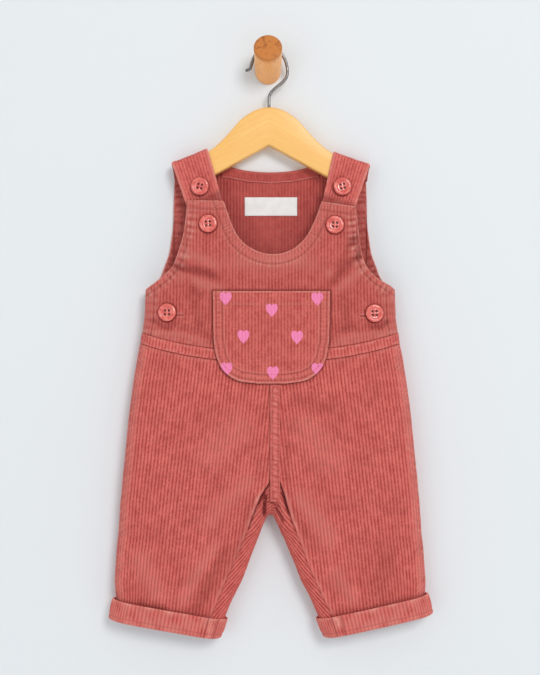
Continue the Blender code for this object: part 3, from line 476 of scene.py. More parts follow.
def new_group(name, inputs, outputs):
    """A shader node group with float, colour or vector sockets, and its inputs' sockets."""
    group = bpy.data.node_groups.new(name, "ShaderNodeTree")
    kinds = {"F": "NodeSocketFloat", "C": "NodeSocketColor", "V": "NodeSocketVector"}
    for way, sockets in (("INPUT", inputs), ("OUTPUT", outputs)):
        for kind, label in sockets:
            group.interface.new_socket(label, in_out=way, socket_type=kinds[kind])
    entry = group.nodes.new("NodeGroupInput")
    return group, entry.outputs[:len(inputs)], group.nodes.new("NodeGroupOutput")


print("node helpers ready")

# %% A group for cotton pile: colour with painted shade and painted highlight, and height of tufted cotton
pile, entries, pile_out = new_group(
    "cotton pile",
    [("V", "Cloth"), ("F", "Groove"), ("F", "Rub"), ("F", "Shade"),
     ("C", "Tops"), ("C", "Grooves"), ("C", "Worn_And_Highlit")],
    [("C", "Color"), ("F", "Height")],
)
laid, in_groove, rubbed_by, shaded_by, tops, grooves, rubbed = entries
stretched = filled("ShaderNodeMapping", {"Vector": laid, "Scale": (1.0, 0.70, 1.0)}).outputs[0]
tufts = noise(stretched, 520.0, 3.0, 0.75)
clumps = noise(stretched, 150.0, 2.0, 0.6)
nap = noise(laid, 26.0)
frayed = maths("ADD", maths("MULTIPLY", maths("SUBTRACT", tufts, 0.5), 3.2),
               maths("MULTIPLY", maths("SUBTRACT", clumps, 0.5), 1.5))
# The colour runs from the tops to the darker grooves, whose darkness is painted shade.
ground = mixed(remapped(maths("ADD", in_groove, frayed), -0.35, 1.15), tops, grooves)
darker = mixed(remapped(nap, 0.36, 0.66, 0.0, 0.15), ground, grooves)
patchy = remapped(maths("ADD", tufts, clumps), 0.80, 1.16, 0.25, 1.0)
flecks = maths("MULTIPLY", remapped(tufts, 0.50, 0.68, 0.0, 0.34), maths("SUBTRACT", 1.0, in_groove))
# How pale a point is: real wear and painted highlight from its mark, and pale flecks of worn pile on the
# tops.
worn_and_highlit_share = maths("ADD", maths("MULTIPLY", rubbed_by, patchy), flecks, clamp=True)
# The colour that the shade mark mixes in: painted shade, a near black red.
deep = mixed(0.55, grooves, (0.03, 0.003, 0.003, 1.0))
join(mixed(shaded_by, mixed(worn_and_highlit_share, darker, rubbed), deep), pile_out, "Color")
join(maths("ADD", maths("MULTIPLY", tufts, 0.6), clumps), pile_out, "Height")
print("pile group nodes:", len(pile.nodes))


# %% Corduroy
# Colours of the cord: the tops, paler from wear and as painted highlight; the grooves, darker as painted
# shade; and a pale colour for real wear and painted highlight together.
CORAL_TOPS = (0.710, 0.165, 0.138, 1.0)
CORAL_GROOVES = (0.390, 0.046, 0.040, 1.0)
CORAL_WORN_AND_HIGHLIT = (0.790, 0.310, 0.255, 1.0)


def corduroy(name, tops=CORAL_TOPS, grooves=CORAL_GROOVES):
    """Cotton cord: the pile group feeds the colour, and its height a bump under 0.2 mm."""
    finish, tree, shader = new_finish(
        name, Roughness=0.86, Sheen_Weight=0.22, Sheen_Roughness=0.45,
        Sheen_Tint=(1.0, 0.72, 0.68, 1.0), Specular_IOR_Level=0.22,
    )
    # The stored marks bring painted shade and painted highlight, with real wear, into the cord's colour.
    values = {"Cloth": cloth_place(tree), "Tops": tops, "Grooves": grooves, "Worn_And_Highlit": CORAL_WORN_AND_HIGHLIT}
    values.update({mark.title(): mark_on(tree, mark) for mark in MARKS})
    group = filled("ShaderNodeGroup", values, node_tree=pile)
    bumped(shader, group.outputs["Height"], 0.45, 0.00022)
    join(group, shader, "Base Color")
    return finish, tree, shader, group.outputs["Color"]


cord = corduroy("coral corduroy")[0]
# The inside's tones are darker than the outside's: painted shade, for the back bib and the neck facing hang
# in shade.
cord_inside = corduroy(
    "coral corduroy, inside", tops=(0.520, 0.094, 0.080, 1.0), grooves=(0.300, 0.036, 0.033, 1.0)
)[0]
print("cord:", cord.name)

# %% [markdown]
# ## How a piece of cloth is built
#
# A piece is a closed wall.  Its outer skin is a fine grid: one parameter walks across the
# wales, six columns to a wale, and the other runs along them.  Its inner skin is coarse.
# On top of the plain form each point is moved along its normal by a relief in millimetres:
#
# * wales: depth times |2t - 1|^3 down from the crest, where t is the way across one wale;
# * folds: soft ridges and troughs from a table, a bell curve across and a smooth fade along;
# * seams: near a sewn edge, the cloth is doubled, dips under the stitches and puckers.

# %% Wales
WALE_STEPS = np.array([0.0, 0.14, 0.32, 0.5, 0.68, 0.86])
WALE_DEPTH = 0.62


def wale_columns(length, pitch):
    """Walked places of the columns over a whole number of wales, and each one's groove share."""
    wales = max(1, round(length / pitch))
    t = np.append((np.arange(wales)[:, None] + WALE_STEPS[None, :]).ravel(), wales)
    groove = np.abs(2 * (t % 1.0) - 1) ** 1.8
    return t * (length / wales), groove


# %% Folds and seams
def folds(x, z, rows, sway=1.4):
    """Relief of soft folds: for each row, height * exp(-(d / width)^2) along its line."""
    total = np.zeros(np.broadcast(x, z).shape)
    for x0, z0, x1, z1, width, height in rows:
        run = np.hypot(x1 - x0, z1 - z0)
        ux, uz = (x1 - x0) / run, (z1 - z0) / run
        forward = ((x - x0) * ux + (z - z0) * uz) / run
        aside = (x - x0) * uz - (z - z0) * ux + sway * np.sin(forward * 5.0 + x0)
        fade = held(forward + 0.18) * held(1.18 - forward) * 4
        total += height * np.exp(-((aside / width) ** 2)) * held(fade) ** 1.5
    return total


def smooth_route(points, per_span):
    """A curve through the points: on each span a cubic with tangents from the neighbours."""
    before = np.vstack([2 * points[0] - points[1], points[:-1]])
    after = np.vstack([points[1:], 2 * points[-1] - points[-2]])
    tangent = (after - before) / 2
    t = np.linspace(0, 1, per_span, endpoint=False)[None, :, None]
    p0, p1, m0, m1 = points[:-1, None], points[1:, None], tangent[:-1, None], tangent[1:, None]
    curve = ((2 * t**3 - 3 * t**2 + 1) * p0 + (t**3 - 2 * t**2 + t) * m0
             + (3 * t**2 - 2 * t**3) * p1 + (t**3 - t**2) * m1)
    return np.vstack([curve.reshape(-1, 2), points[-1:]])


def smooth_line(points, step=2.0):
    """A polyline resampled every few millimetres, its corners eased by one averaging."""
    points = np.asarray(points, dtype=float)
    length = lengths_along(*points.T)
    even = np.linspace(0, length[-1], max(3, int(length[-1] / step)))
    line = np.stack([np.interp(even, length, points[:, k]) for k in (0, 1)], axis=-1)
    line[1:-1] = (line[:-2] + 2 * line[1:-1] + line[2:]) / 4
    return line


def near_line(x, z, line):
    """Distance of every point to a polyline, and the length along it at the nearest place."""
    start, run = line[:-1], np.diff(line, axis=0)
    size = np.hypot(*run.T)
    so_far = np.concatenate([[0], np.cumsum(size)[:-1]])
    best = np.full(x.shape, 1e9)
    where = np.zeros(x.shape)
    for (x0, z0), (rx, rz), length, before in zip(start, run, size, so_far):
        share = held(((x - x0) * rx + (z - z0) * rz) / length**2)
        distance = np.hypot(x - x0 - share * rx, z - z0 - share * rz)
        closer = distance < best
        best = np.where(closer, distance, best)
        where = np.where(closer, before + share * length, where)
    return best, where


def bell(distance, centre, width):
    return np.exp(-(((distance - centre) / width) ** 2))


def sewn(x, z, line, stitch, pucker=0.28, wave=6.5, lift=0.45, seed=1):
    """Relief, wear and highlight, crush and painted shade near a sewn edge with stitches one distance in.

    The doubled cloth between edge and stitches stands up by lift and dips under the
    stitches.  Puckers are round bumps, 2 |sin(pi run / wave)| - 1, fading inwards.
    """
    distance, run = near_line(x, z, line)
    inside = 1 / (1 + np.exp((distance - stitch) / 0.7))
    dip = bell(distance, stitch, 0.95)
    uneven = soft_noise(run, run * 0.3, wave * 5, seed)
    bumps = (2 * np.abs(np.sin(run / wave * math.pi + 0.9 * uneven)) ** 0.8 - 1) * (0.7 + 0.45 * uneven)
    fade = np.exp(-((np.maximum(distance - stitch, 0) / 5.5) ** 2)) * np.clip(distance / 1.6, 0.25, 1)
    relief = lift * inside - 0.60 * dip + pucker * bumps * fade
    relief -= pillow(distance, 1.5, 0.8)
    # Paler: real wear along the folded edge, and painted highlight beside the stitches and on the tops of
    # the puckers.
    rub = 1.1 * held(1 - distance / 1.9) + 0.25 * bell(distance, stitch + 1.8, 1.0) + 0.08 * inside
    rub += (0.20 + pucker) * held(bumps) * fade * held(distance / 3)
    # The last value is painted shade, in the dip under the stitches and in the troughs between puckers.
    return relief, rub, 0.30 * inside, 0.24 * dip + 0.5 * pucker * held(-bumps) * fade


def pillow(edge, reach, drop):
    """Rounding off at an edge: drop * (1 - sqrt(1 - (1 - d / reach)^2)) within its reach."""
    return drop * (1 - np.sqrt(1 - held(1 - edge / reach) ** 2))


def pressed(x, z, spots):
    """Relief and painted shade round buttons: the cloth is pulled in, with a ring of painted shadow at
    their rims.
    """
    relief = np.zeros(np.broadcast(x, z).shape)
    shade = np.zeros(relief.shape)
    for across, level in spots:
        r = np.hypot(x - across, z - level)
        relief -= 0.45 * np.exp(-((r / 10.5) ** 4))
        shade = np.maximum(shade, 0.85 * np.exp(-(((r - 8.2) / 1.1) ** 2)))
    return relief, shade


print("a wale's columns:", wale_columns(3.05, 3.05)[1].round(2).tolist())


# %% A closed wall of cloth
def cloth(name, plain, normals, groove, uv, relief=0.0, rub=0.0, shade=0.0, crush=0.0,
          thick=CLOTH, skip=3, finish=cord, wale_depth=WALE_DEPTH, hold=None):
    """One piece of cloth: outer skin = plain + normal * (relief - wales), inner skin coarser.

    plain and normals are arrays (columns, rows, 3).  crush flattens the wales where the
    cloth is doubled.  hold is a function that keeps points on their side of a plane.
    """
    columns, rows = plain.shape[:2]
    uneven = 1 + 0.32 * soft_noise(uv[0] * 0.8, uv[1] * 0.4, 6.0, 9)
    depth = wale_depth * groove * (1 - held(crush)) * uneven
    stray = 0.09 * soft_noise(uv[0] * 0.15, uv[1], 17.0, 10)
    stray = stray * np.sin(np.linspace(0, math.pi, columns)).clip(0, 0.2)[:, None] * 5
    sideways = unit(np.gradient(plain, axis=0)) * stray[..., None]
    outer = plain + normals * (relief - depth)[..., None] + sideways
    inner_rows = np.unique(np.append(np.arange(0, rows, skip), rows - 1))
    wale = len(WALE_STEPS)
    inner = (plain + normals * (np.minimum(relief, 0.3) - thick)[..., None])[::wale][:, inner_rows]
    if hold is not None:
        outer, inner = hold(outer), hold(inner)
    number = numbered(columns, rows)
    inside = numbered(*inner.shape[:2], number.size)
    spots = np.stack(np.broadcast_arrays(*uv), axis=-1)
    points = np.concatenate([outer.reshape(-1, 3), inner.reshape(-1, 3)])
    points[:, 0] += GARMENT_X
    uvs = np.concatenate([spots.reshape(-1, 2), spots[::wale][:, inner_rows].reshape(-1, 2)])

    def whole(values, inner_value=0.0):
        outer_values = np.broadcast_to(values, (columns, rows)).ravel()
        return np.concatenate([outer_values, np.full(inside.size, inner_value)])

    # The inner skin gets a fixed groove share and painted shade, as the inside lies in shade.
    made = piece(name, points, wall_faces(number, inside), finish, uv=uvs,
                 groove=whole(groove * (1 - 0.6 * held(crush)), 0.55),
                 rub=whole(rub), shade=whole(shade, 0.25))
    print(name, len(made.data.polygons), "faces")
    return made


def hold_side(side):
    """A function that keeps points on their own side of the middle plane."""
    def hold(points):
        points = points.copy()
        limit = middle_plane(points[..., 2]) + side * SEAM_GAP / 2
        points[..., 1] = side * np.maximum(side * points[..., 1], side * limit)
        return points
    return hold


def spread(low, high, rows):
    """Heights from low to high in each column, closer together near both ends."""
    share = np.linspace(0, 1, rows)
    share = share - 0.06 * np.sin(2 * math.pi * share)
    return low[:, None] * (1 - share) + high[:, None] * share


def lay(x, z, side, lift=0.0):
    """Plain points and normals of places on the hanging form, lifted off it."""
    normals = surface_normals(x, z, side)
    plain = np.stack([x, surface_y(x, z, side), z], axis=-1)
    return plain + normals * lift, normals


# %% [markdown]
# ## The bib
#
# The front bib is one piece: two tabs for the straps, a deep U neckline, and armholes that
# sweep down to the underarm.  Its neck is faced, with stitches 9 mm in, and the armholes
# have theirs 5.5 mm in, where the bias edge puckers.  Two drag lines run from the armholes
# towards the pocket, which is the weight of the cloth hanging from the straps.

# %% Cut edges of the bib
WALE_PITCH = 3.05
FRONT_EDGE = table("across height", [
    (-117.4, -209.5), (-109.0, -204.0), (-101.6, -198.1), (-96.0, -193.2), (-91.6, -188.0),
    (-88.4, -181.5), (-84.6, -170.0), (-81.5, -158.5), (-79.4, -145.0), (-77.9, -128.7),
    (-76.5, -126.0), (-44.2, -126.3), (-42.4, -130.2), (-39.6, -138.7), (-36.3, -147.5),
    (-32.4, -156.4), (-27.5, -163.2), (-22.0, -168.3), (-16.0, -172.0), (-9.0, -174.9),
    (-2.0, -176.4), (4.5, -176.7), (11.0, -175.8), (17.5, -173.6), (24.0, -169.8), (30.0, -164.3),
    (35.3, -157.3), (39.6, -149.0), (43.5, -139.8), (46.6, -131.0), (47.8, -127.1),
    (80.0, -131.8), (81.0, -139.0), (82.4, -153.0), (84.2, -168.0), (87.2, -181.9),
    (91.3, -190.2), (99.8, -198.9), (112.2, -205.9), (117.3, -209.5),
])
BACK_EDGE_HALF = [
    (-117.4, -209.5), (-110.0, -204.5), (-104.6, -197.0), (-101.3, -188.3), (-98.4, -180.7),
    (-96.0, -173.0), (-93.8, -158.0), (-92.2, -142.5), (-91.6, -103.2), (-59.0, -91.2),
    (-46.0, -91.5), (-38.0, -92.3), (-21.4, -95.8), (0.0, -97.2),
]
BACK_EDGE = table("across height", BACK_EDGE_HALF + [(-x, z) for x, z in BACK_EDGE_HALF[-2::-1]])


def edge_line(edge, low, high):
    """The part of a cut edge between two of its rows, as a smooth polyline."""
    keep = (edge["across"] >= low) & (edge["across"] <= high)
    return smooth_line(np.stack([edge["across"][keep], edge["height"][keep]], axis=-1))


def cut_edge(place, edge):
    """Height of a cut edge, each span between corners a smooth curve through its rows."""
    rows = np.stack([edge["across"], edge["height"]], axis=-1)
    steep = np.flatnonzero(np.abs(np.diff(rows[:, 0])) > 25)
    cuts = np.unique(np.concatenate([[0], steep, steep + 1, [len(rows) - 1]]))
    curve = np.concatenate([smooth_route(rows[a:b + 1], 8) for a, b in zip(cuts[:-1], cuts[1:])])
    return np.interp(place, curve[:, 0], curve[:, 1])


def across_columns(low, high, pitch):
    """Columns across the body between two limits: places, grooves and walked lengths."""
    start = along(low + BIB_HALF_WIDTH)
    total = 2 * along(BIB_HALF_WIDTH)
    end = total - along(BIB_HALF_WIDTH - high)
    walked, groove = wale_columns(end - start, pitch)
    walked = walked + start
    left = inward(walked) - BIB_HALF_WIDTH
    right = BIB_HALF_WIDTH - inward(total - walked)
    return np.where(walked < total / 2, left, right), groove, walked


# %% [markdown]
# The pocket's outline comes before the bib, because the cloth close round the pocket is
# pressed down and gets the pocket's painted shadow: a bell curve of the distance to the pocket's edge.

# %% Where the pocket lies
POCKET_EDGE = table("across height", [
    (-53.6, -213.5), (-52.6, -257.0), (-49.6, -273.5), (-45.6, -282.5), (-39.0, -289.6),
    (-29.0, -294.8), (-12.0, -297.3), (14.0, -297.3), (31.0, -294.8), (41.0, -289.6),
    (47.6, -282.5), (51.6, -273.5), (54.6, -257.0), (55.6, -213.5),
])
POCKET_TOP = -211.3
pocket_line = smooth_line(
    [(-53.6, -205.0)] + list(zip(POCKET_EDGE["across"], POCKET_EDGE["height"])) + [(55.6, -205.0)]
)
pocket_round = np.vstack([pocket_line, pocket_line[:1]])
pocket_round[:, 1] = np.minimum(pocket_round[:, 1], POCKET_TOP)


def beside_pocket(x, z):
    """Painted shadow of the pocket's edge on the cloth close round it, where it is pressed down."""
    return 0.75 * np.exp(-((near_line(x, z, pocket_round)[0] / 1.7) ** 2))


# %% Front bib
FRONT_FOLDS = [
    # x0, z0, x1, z1, width, height
    (-90, -187, -52, -198, 3.6, -2.1),
    (-84, -194, -44, -214, 5.0, 1.3),
    (-82, -177, -50, -186, 4.5, 1.0),
    (-80, -199, -64, -216, 3.2, -1.0),
    (80, -162, 58, -190, 3.8, -1.7),
    (84, -176, 56, -204, 4.0, -1.3),
    (78, -170, 52, -196, 4.5, 1.1),
    (88, -186, 62, -212, 4.5, 1.0),
    (-112, -240, -92, -246, 2.6, -1.2),
    (-108, -248, -60, -257, 4.5, 1.0),
    (-100, -243, -58, -251, 4.0, -0.8),
    (62, -257, 112, -247, 4.5, 1.0),
    (64, -250, 106, -242, 4.0, -0.8),
    (112, -240, 94, -246, 2.6, -1.1),
    (-72, -212, -66, -246, 5.0, -0.7),
    (68, -214, 70, -248, 5.0, -0.6),
    (-40, -183, 44, -187, 7.0, 0.7),
]
BUTTON_SPOTS = [(-58.2, -148.2), (60.3, -149.3), (-96.0, -231.2), (96.9, -232.0)]
neck_line = edge_line(FRONT_EDGE, -44.3, 47.9)
arm_left = edge_line(FRONT_EDGE, -118, -77.8)
arm_right = edge_line(FRONT_EDGE, 80.9, 118)
tab_left = smooth_line([(-76.5, -126.0), (-44.2, -126.3)])
tab_right = smooth_line([(47.8, -127.1), (80.0, -131.8)])
side_left = smooth_line([(-117.5, -209.5), (-118.6, -235), (-121.0, -252)])
side_right = smooth_line([(117.4, -209.5), (118.2, -235), (120.6, -252)])
SEWN_FRONT = [
    # line, stitches in from the edge, pucker, wave, lift
    (neck_line, 9.3, 0.20, 3.05, 0.40),
    (arm_left, 5.8, 0.62, 6.2, 0.40),
    (arm_right, 5.8, 0.62, 6.0, 0.40),
    (tab_left, 8.0, 0.16, 3.05, 0.30),
    (tab_right, 8.0, 0.16, 3.05, 0.30),
    (side_left, 9.4, 0.22, 7.0, 0.25),
    (side_right, 9.4, 0.22, 7.0, 0.25),
]


def seams_over(x, z, specs):
    """All the seams of a piece together: summed relief, and the strongest wear and highlight, crush and
    painted shade.
    """
    relief = np.zeros(x.shape)
    marks = np.zeros((3,) + x.shape)
    for number, (line, stitch, pucker, wave, lift) in enumerate(specs):
        found = sewn(x, z, line, stitch, pucker, wave, lift, seed=7 + number)
        relief += found[0]
        marks = np.maximum(marks, np.stack(found[1:]))
    return relief, *marks


def front_relief(x, z):
    """Relief of the front bib without its wales, also for what is sewn on it."""
    soft = 0.25 * soft_noise(x, z, 46, 3) * held((z + 262) / 20)
    return folds(x, z, FRONT_FOLDS) + soft + pressed(x, z, BUTTON_SPOTS)[0]


place, groove, walked = across_columns(-BIB_HALF_WIDTH, BIB_HALF_WIDTH, WALE_PITCH)
top = cut_edge(place, FRONT_EDGE)
z = spread(waist_top(place) + SEAM_GAP, top, 112)
x = widened(place[:, None], z)
plain, normals = lay(x, z, -1)
relief, rub, crush, shade = seams_over(x, z, SEWN_FRONT)
waist_near = z - waist_top(place)[:, None]
lumps = soft_noise(walked[:, None], waist_near * 0.5, 7, 14)
relief = relief + front_relief(x, z) - pillow(waist_near, 1.2, 0.4)
relief += (0.30 + 0.25 * lumps) * bell(waist_near, 3.2, 2.2)
# Paler along the waist seam's raised edge: real wear and painted highlight.
rub = rub + 0.35 * bell(waist_near, 2.4, 1.2) * held(0.5 + lumps)
crush = np.maximum(crush, 0.8 * np.exp(-waist_near / 1.4))
# Fold ridges are painted paler as painted highlight, fold troughs darker as painted shade, and so is the
# ring round each button.
creased = folds(x, z, FRONT_FOLDS)
rub = rub + 0.35 * held(creased)
shade = np.maximum(shade, pressed(x, z, BUTTON_SPOTS)[1]) + 0.42 * held(-creased / 1.6)
# At each buttonhole, a dark line of painted shade in its slit, with paler lips above and below.
for across, level in ((-84.3, -233.6), (86.6, -234.5)):
    cut = held(3.9 - np.abs(x - across))
    shade = shade + cut * (0.7 * bell(z, level, 0.6) - 0.2 * bell(z, level + 1.4, 0.7))
    rub = rub + 0.8 * cut * bell(np.abs(z - level), 1.5, 0.6)
# Painted shade over the whole bib, which is darker than the legs under this light, and the pocket's painted
# shadow.
shade = held(np.maximum(shade, beside_pocket(x, z)) + 0.21)
side_near = held(np.minimum(x - outline("left_outer", z), outline("right_outer", z) - x) / 9)
relief *= side_near**0.7
wobble = 0.10 * soft_noise(x, z * 0.22, 5.0, 4)
bib_front = cloth("front_bib", plain, normals, 0.95 * groove[:, None], (walked[:, None], z),
                  relief + wobble * (1 - groove[:, None]), rub, shade, crush,
                  hold=hold_side(-1), wale_depth=0.44)
front_area = float(np.trapz(top - waist_top(place), walked))

# %% [markdown]
# The back bib rises behind the neck.  Its inside is what the picture shows through the
# neck opening, so both of its skins are woven fine: the inner one carries the wales of
# the cord's own back, and ladder-like puckers where the armhole facing is turned in.

# %% Back bib
back_arm_left = edge_line(BACK_EDGE, -118, -91.5)
back_arm_right = edge_line(BACK_EDGE, 91.5, 118)
back_neck = edge_line(BACK_EDGE, -60, 60)
SEWN_BACK = [
    (back_arm_left, 5.6, 0.30, 5.6, 0.3),
    (back_arm_right, 5.6, 0.30, 5.8, 0.3),
    (back_neck, 9.8, 0.10, 5.0, 0.3),
]
BACK_FOLDS = [
    (-88, -196, -40, -214, 8, -0.5),
    (90, -196, 44, -216, 8, -0.5),
    (-60, -246, 70, -250, 9, 0.45),
]
top = cut_edge(place, BACK_EDGE)
z = spread(waist_top(place) + SEAM_GAP, top, 100)
x = widened(place[:, None], z)
plain, normals = lay(x, z, 1)
relief, rub, crush, _ = seams_over(x, z, SEWN_BACK)
relief = np.clip(relief, -0.8, 0.35) + folds(x, z, BACK_FOLDS)
relief = np.clip(relief, -0.9, 0.9) * side_near[:, -1:] ** 0.7
groove_back = np.broadcast_to(groove[:, None], x.shape)
outer = plain + normals * (relief - WALE_DEPTH * groove_back * (1 - crush))[..., None]
ladder_near, ladder_run = near_line(x, z, back_arm_left)
ladder_far, run_far = near_line(x, z, back_arm_right)
ladder_run = np.where(ladder_near < ladder_far, ladder_run, run_far + 40)
ladder_near = np.minimum(ladder_near, ladder_far)
sway = 1.2 * soft_noise(ladder_run, ladder_run, 30, 8)
ladder = 1 - 2 * np.abs(np.sin(ladder_run / 6.4 * math.pi + sway))
ladder = ladder * np.exp(-((ladder_near / 15.0) ** 2)) * held(ladder_near / 2)
calm = 0.40 + 0.60 * held(np.abs(x) / 40)
inner_groove = groove_back * (1 - 0.75 * np.exp(-((ladder_near / 12.0) ** 4))) * calm
inner_relief = 0.32 * inner_groove - 0.55 * ladder + pillow(ladder_near, 1.6, 0.9) + 0.3 * relief
inner = plain - normals * (CLOTH - inner_relief)[..., None]
number = numbered(*x.shape)
points = np.concatenate([hold_side(1)(skin).reshape(-1, 3) for skin in (outer, inner)])
points[:, 0] += GARMENT_X
uv = np.stack(np.broadcast_arrays(walked[:, None], z), axis=-1).reshape(-1, 2)
# The inside is paler at the armhole's turned edge, for real wear, and on the tops of the ladder, as painted
# highlight; the ladder's hollows get painted shade.
inner_rub = 0.9 * held(1 - ladder_near / 1.8)
inner_rub += 0.35 * held(-ladder) * (ladder_near > 1)
bib_back = piece(
    "back_bib", points, wall_faces(number, number + number.size), cord_inside,
    uv=np.concatenate([uv, uv]), groove=np.concatenate([groove_back, inner_groove]),
    rub=np.concatenate([rub, inner_rub]),
    shade=np.concatenate([np.zeros(x.shape), held(0.5 * ladder)]),
)
back_area = float(np.trapz(top - waist_top(place), walked))
print(bib_back.name, len(bib_back.data.polygons), "faces")

# %% [markdown]
# ## Waistbands
#
# A narrow band joins bib and trousers, cut with its wales upright like theirs.  It stands
# a little proud because four raw edges are turned into it, and each seam gathers it in
# small lumps, so the relief is a low pillow with unevenness along both long sides.


# %% Both waistbands
def waistband(name, side):
    """The band between bib and trousers."""
    place, groove, walked = across_columns(-BIB_HALF_WIDTH, BIB_HALF_WIDTH, WALE_PITCH)
    upper = waist_top(place)
    z = spread(upper - WAIST_HEIGHT, upper, 18)
    x = widened(place[:, None], z)
    plain, normals = lay(x, z, side)
    down = upper[:, None] - z
    edge = np.minimum(down, WAIST_HEIGHT - down)
    lumps = soft_noise(walked[:, None], down * 0.7, 8.0, 12 + side)
    relief = WAIST_PROUD + 0.10 * lumps - pillow(edge, 1.2, 0.45) * (1 + 0.3 * lumps)
    # Paler along both long edges: real wear and painted highlight; darker at the very edges and beside the
    # pocket: painted shade.
    rub = 0.45 * bell(edge, 1.7, 0.9) * held(0.4 + lumps)
    shade = 0.20 * held(1 - edge / 0.7) + beside_pocket(x, z) * (side < 0)
    return cloth(name, plain, normals, groove[:, None], (walked[:, None], z), relief, rub,
                 shade, 0.8 * np.exp(-edge / 1.2), thick=CLOTH + 0.5, hold=hold_side(side),
                 wale_depth=0.42)


waist_front = waistband("front_waistband", -1)
waist_back = waistband("back_waistband", 1)

# %% [markdown]
# ## The trousers
#
# Each leg has a front and a back piece whose wales run parallel to its side seam, so the
# slanting inside seam cuts them off one by one.  The side seam is felled: its turned edge
# makes a strip 8 mm wide with slanting ladder marks.  The same strip is on the back.

# %% Places of a leg's wales
LEG_WALE = 3.23
CUFF_HEIGHT, CUFF_TUCK = 19.5, 10.0
CUFFS = {
    "left": {"outer": (-145.4, -499.7), "inner": (-42.3, -518.0)},
    "right": {"outer": (145.6, -495.2), "inner": (45.0, -517.6)},
}


def cuff_top(x, leg):
    """Height of a cuff's straight top line at a place across."""
    outer, inner = CUFFS[leg]["outer"], CUFFS[leg]["inner"]
    return outer[1] + (inner[1] - outer[1]) * (x - outer[0]) / (inner[0] - outer[0])


def leg_place(leg, z, inwards):
    """Places of a leg's wales: they follow the side seam, and further in its calm average."""
    samples = np.linspace(-425, -262, 60)
    calm = np.polyval(np.polyfit(samples, np.abs(outline(leg + "_outer", samples)), 1), z)
    return calm + (np.abs(outline(leg + "_outer", z)) - calm) * np.exp(-((inwards / 26) ** 2)) - inwards


def leg_columns(leg, side):
    """Walked places of a leg's columns, their grooves, lowest and highest points, and its sign."""
    sign = -1 if leg == "left" else 1
    samples = np.linspace(-545, -255, 1800)
    outer = outline(leg + "_outer", samples)
    if side < 0:
        limit = np.abs(outline(leg + "_seam", samples))
        corner = FORK_TOP if leg == "left" else -384.4
    else:
        limit = back_seam(samples)
        corner = FORK_BACK
    limit = np.maximum(limit, SEAM_GAP / 2)
    widest = abs(outline(leg + "_outer", corner)) - np.interp(corner, samples, limit) - 0.9
    walked, groove = wale_columns(along(widest), LEG_WALE)
    place = leg_place(leg, samples[None, :], inward(walked)[:, None])
    waist = waist_top(place * BIB_HALF_WIDTH / np.abs(outer)) - WAIST_HEIGHT - SEAM_GAP
    hem = cuff_top(sign * place, leg) - CUFF_TUCK
    inside = (samples < waist) & (samples > hem) & (place > limit)
    top = np.where(inside, samples, -1e9).max(axis=1)
    low = np.where(inside, samples, 1e9).min(axis=1)
    return walked, groove, low, top, sign


# %% Leg folds and the felled side seam
LEG_FOLDS = {
    # x0, z0, x1, z1, width, height
    "left": [
        (-40, -452, -72, -508, 6.0, -1.4),
        (-48, -446, -84, -502, 7.0, 0.9),
        (-14, -404, -40, -478, 5.0, -0.9),
        (-18, -382, -60, -430, 9.0, 0.7),
        (-122, -500, -100, -512, 6.0, -1.0),
        (-122, -455, -104, -500, 10.0, 0.8),
        (-24, -330, -60, -372, 14.0, 0.6),
        (-10, -352, -8, -386, 5.0, -0.8),
    ],
    "right": [
        (16, -396, 32, -440, 5.0, -0.8),
        (24, -400, 58, -446, 9.0, 0.9),
        (20, -314, 60, -320, 7.0, -0.8),
        (14, -350, 15, -388, 4.0, -0.8),
        (60, -470, 78, -502, 7.0, 0.8),
        (112, -450, 96, -496, 12.0, -0.7),
        (26, -330, 62, -376, 14.0, 0.6),
    ],
}
SIDE_STRIP = 8.4


def side_strip(d, z, seed):
    """Relief, wear and highlight, crush and painted shade of the felled strip at a distance d in from a
    side seam.
    """
    inside = 1 / (1 + np.exp((d - SIDE_STRIP) / 0.5))
    slant = soft_noise(d * 0, z, 38, seed)
    ladder = 2 * np.abs(np.sin((z + 0.9 * d) / 4.6 * math.pi + 1.4 * slant)) ** 0.8 - 1
    ladder = ladder * (0.6 + 0.6 * soft_noise(d * 0.6, z, 9, seed + 1))
    relief = 0.30 * inside + 0.24 * ladder * inside * np.clip(d / 1.0, 0.3, 1)
    relief -= 0.30 * bell(d, SIDE_STRIP + 0.3, 0.8) * (1 + 0.4 * ladder) + 0.45 * bell(d, 1.7, 0.7)
    # Painted highlight on the ladder's tops over a little real wear; painted shade in the seam's groove and
    # the ladder's hollows.
    rub = inside * (0.10 + 0.42 * held(ladder))
    shade = 0.30 * bell(d, 1.7, 0.6) * (1 - ladder) + 0.15 * inside * held(-ladder)
    return relief, rub, 0.45 * inside, shade


def inside_seam(leg, side):
    """The inside-leg seam as places out from the middle and heights, from the fork to the hem."""
    level = np.linspace(-388.5 if side < 0 else FORK_BACK, -540, 60)
    across = np.abs(outline(leg + "_seam", level)) if side < 0 else back_seam(level)
    return np.stack([across, level], axis=-1)


def leg_folds(leg, side):
    """Rows of a leg's folds; the back has those of the other leg, mirrored and a fifth lower."""
    if side < 0:
        return LEG_FOLDS[leg]
    other = LEG_FOLDS["right" if leg == "left" else "left"]
    return [(-x0, z0, -x1, z1, width, 0.8 * height) for x0, z0, x1, z1, width, height in other]


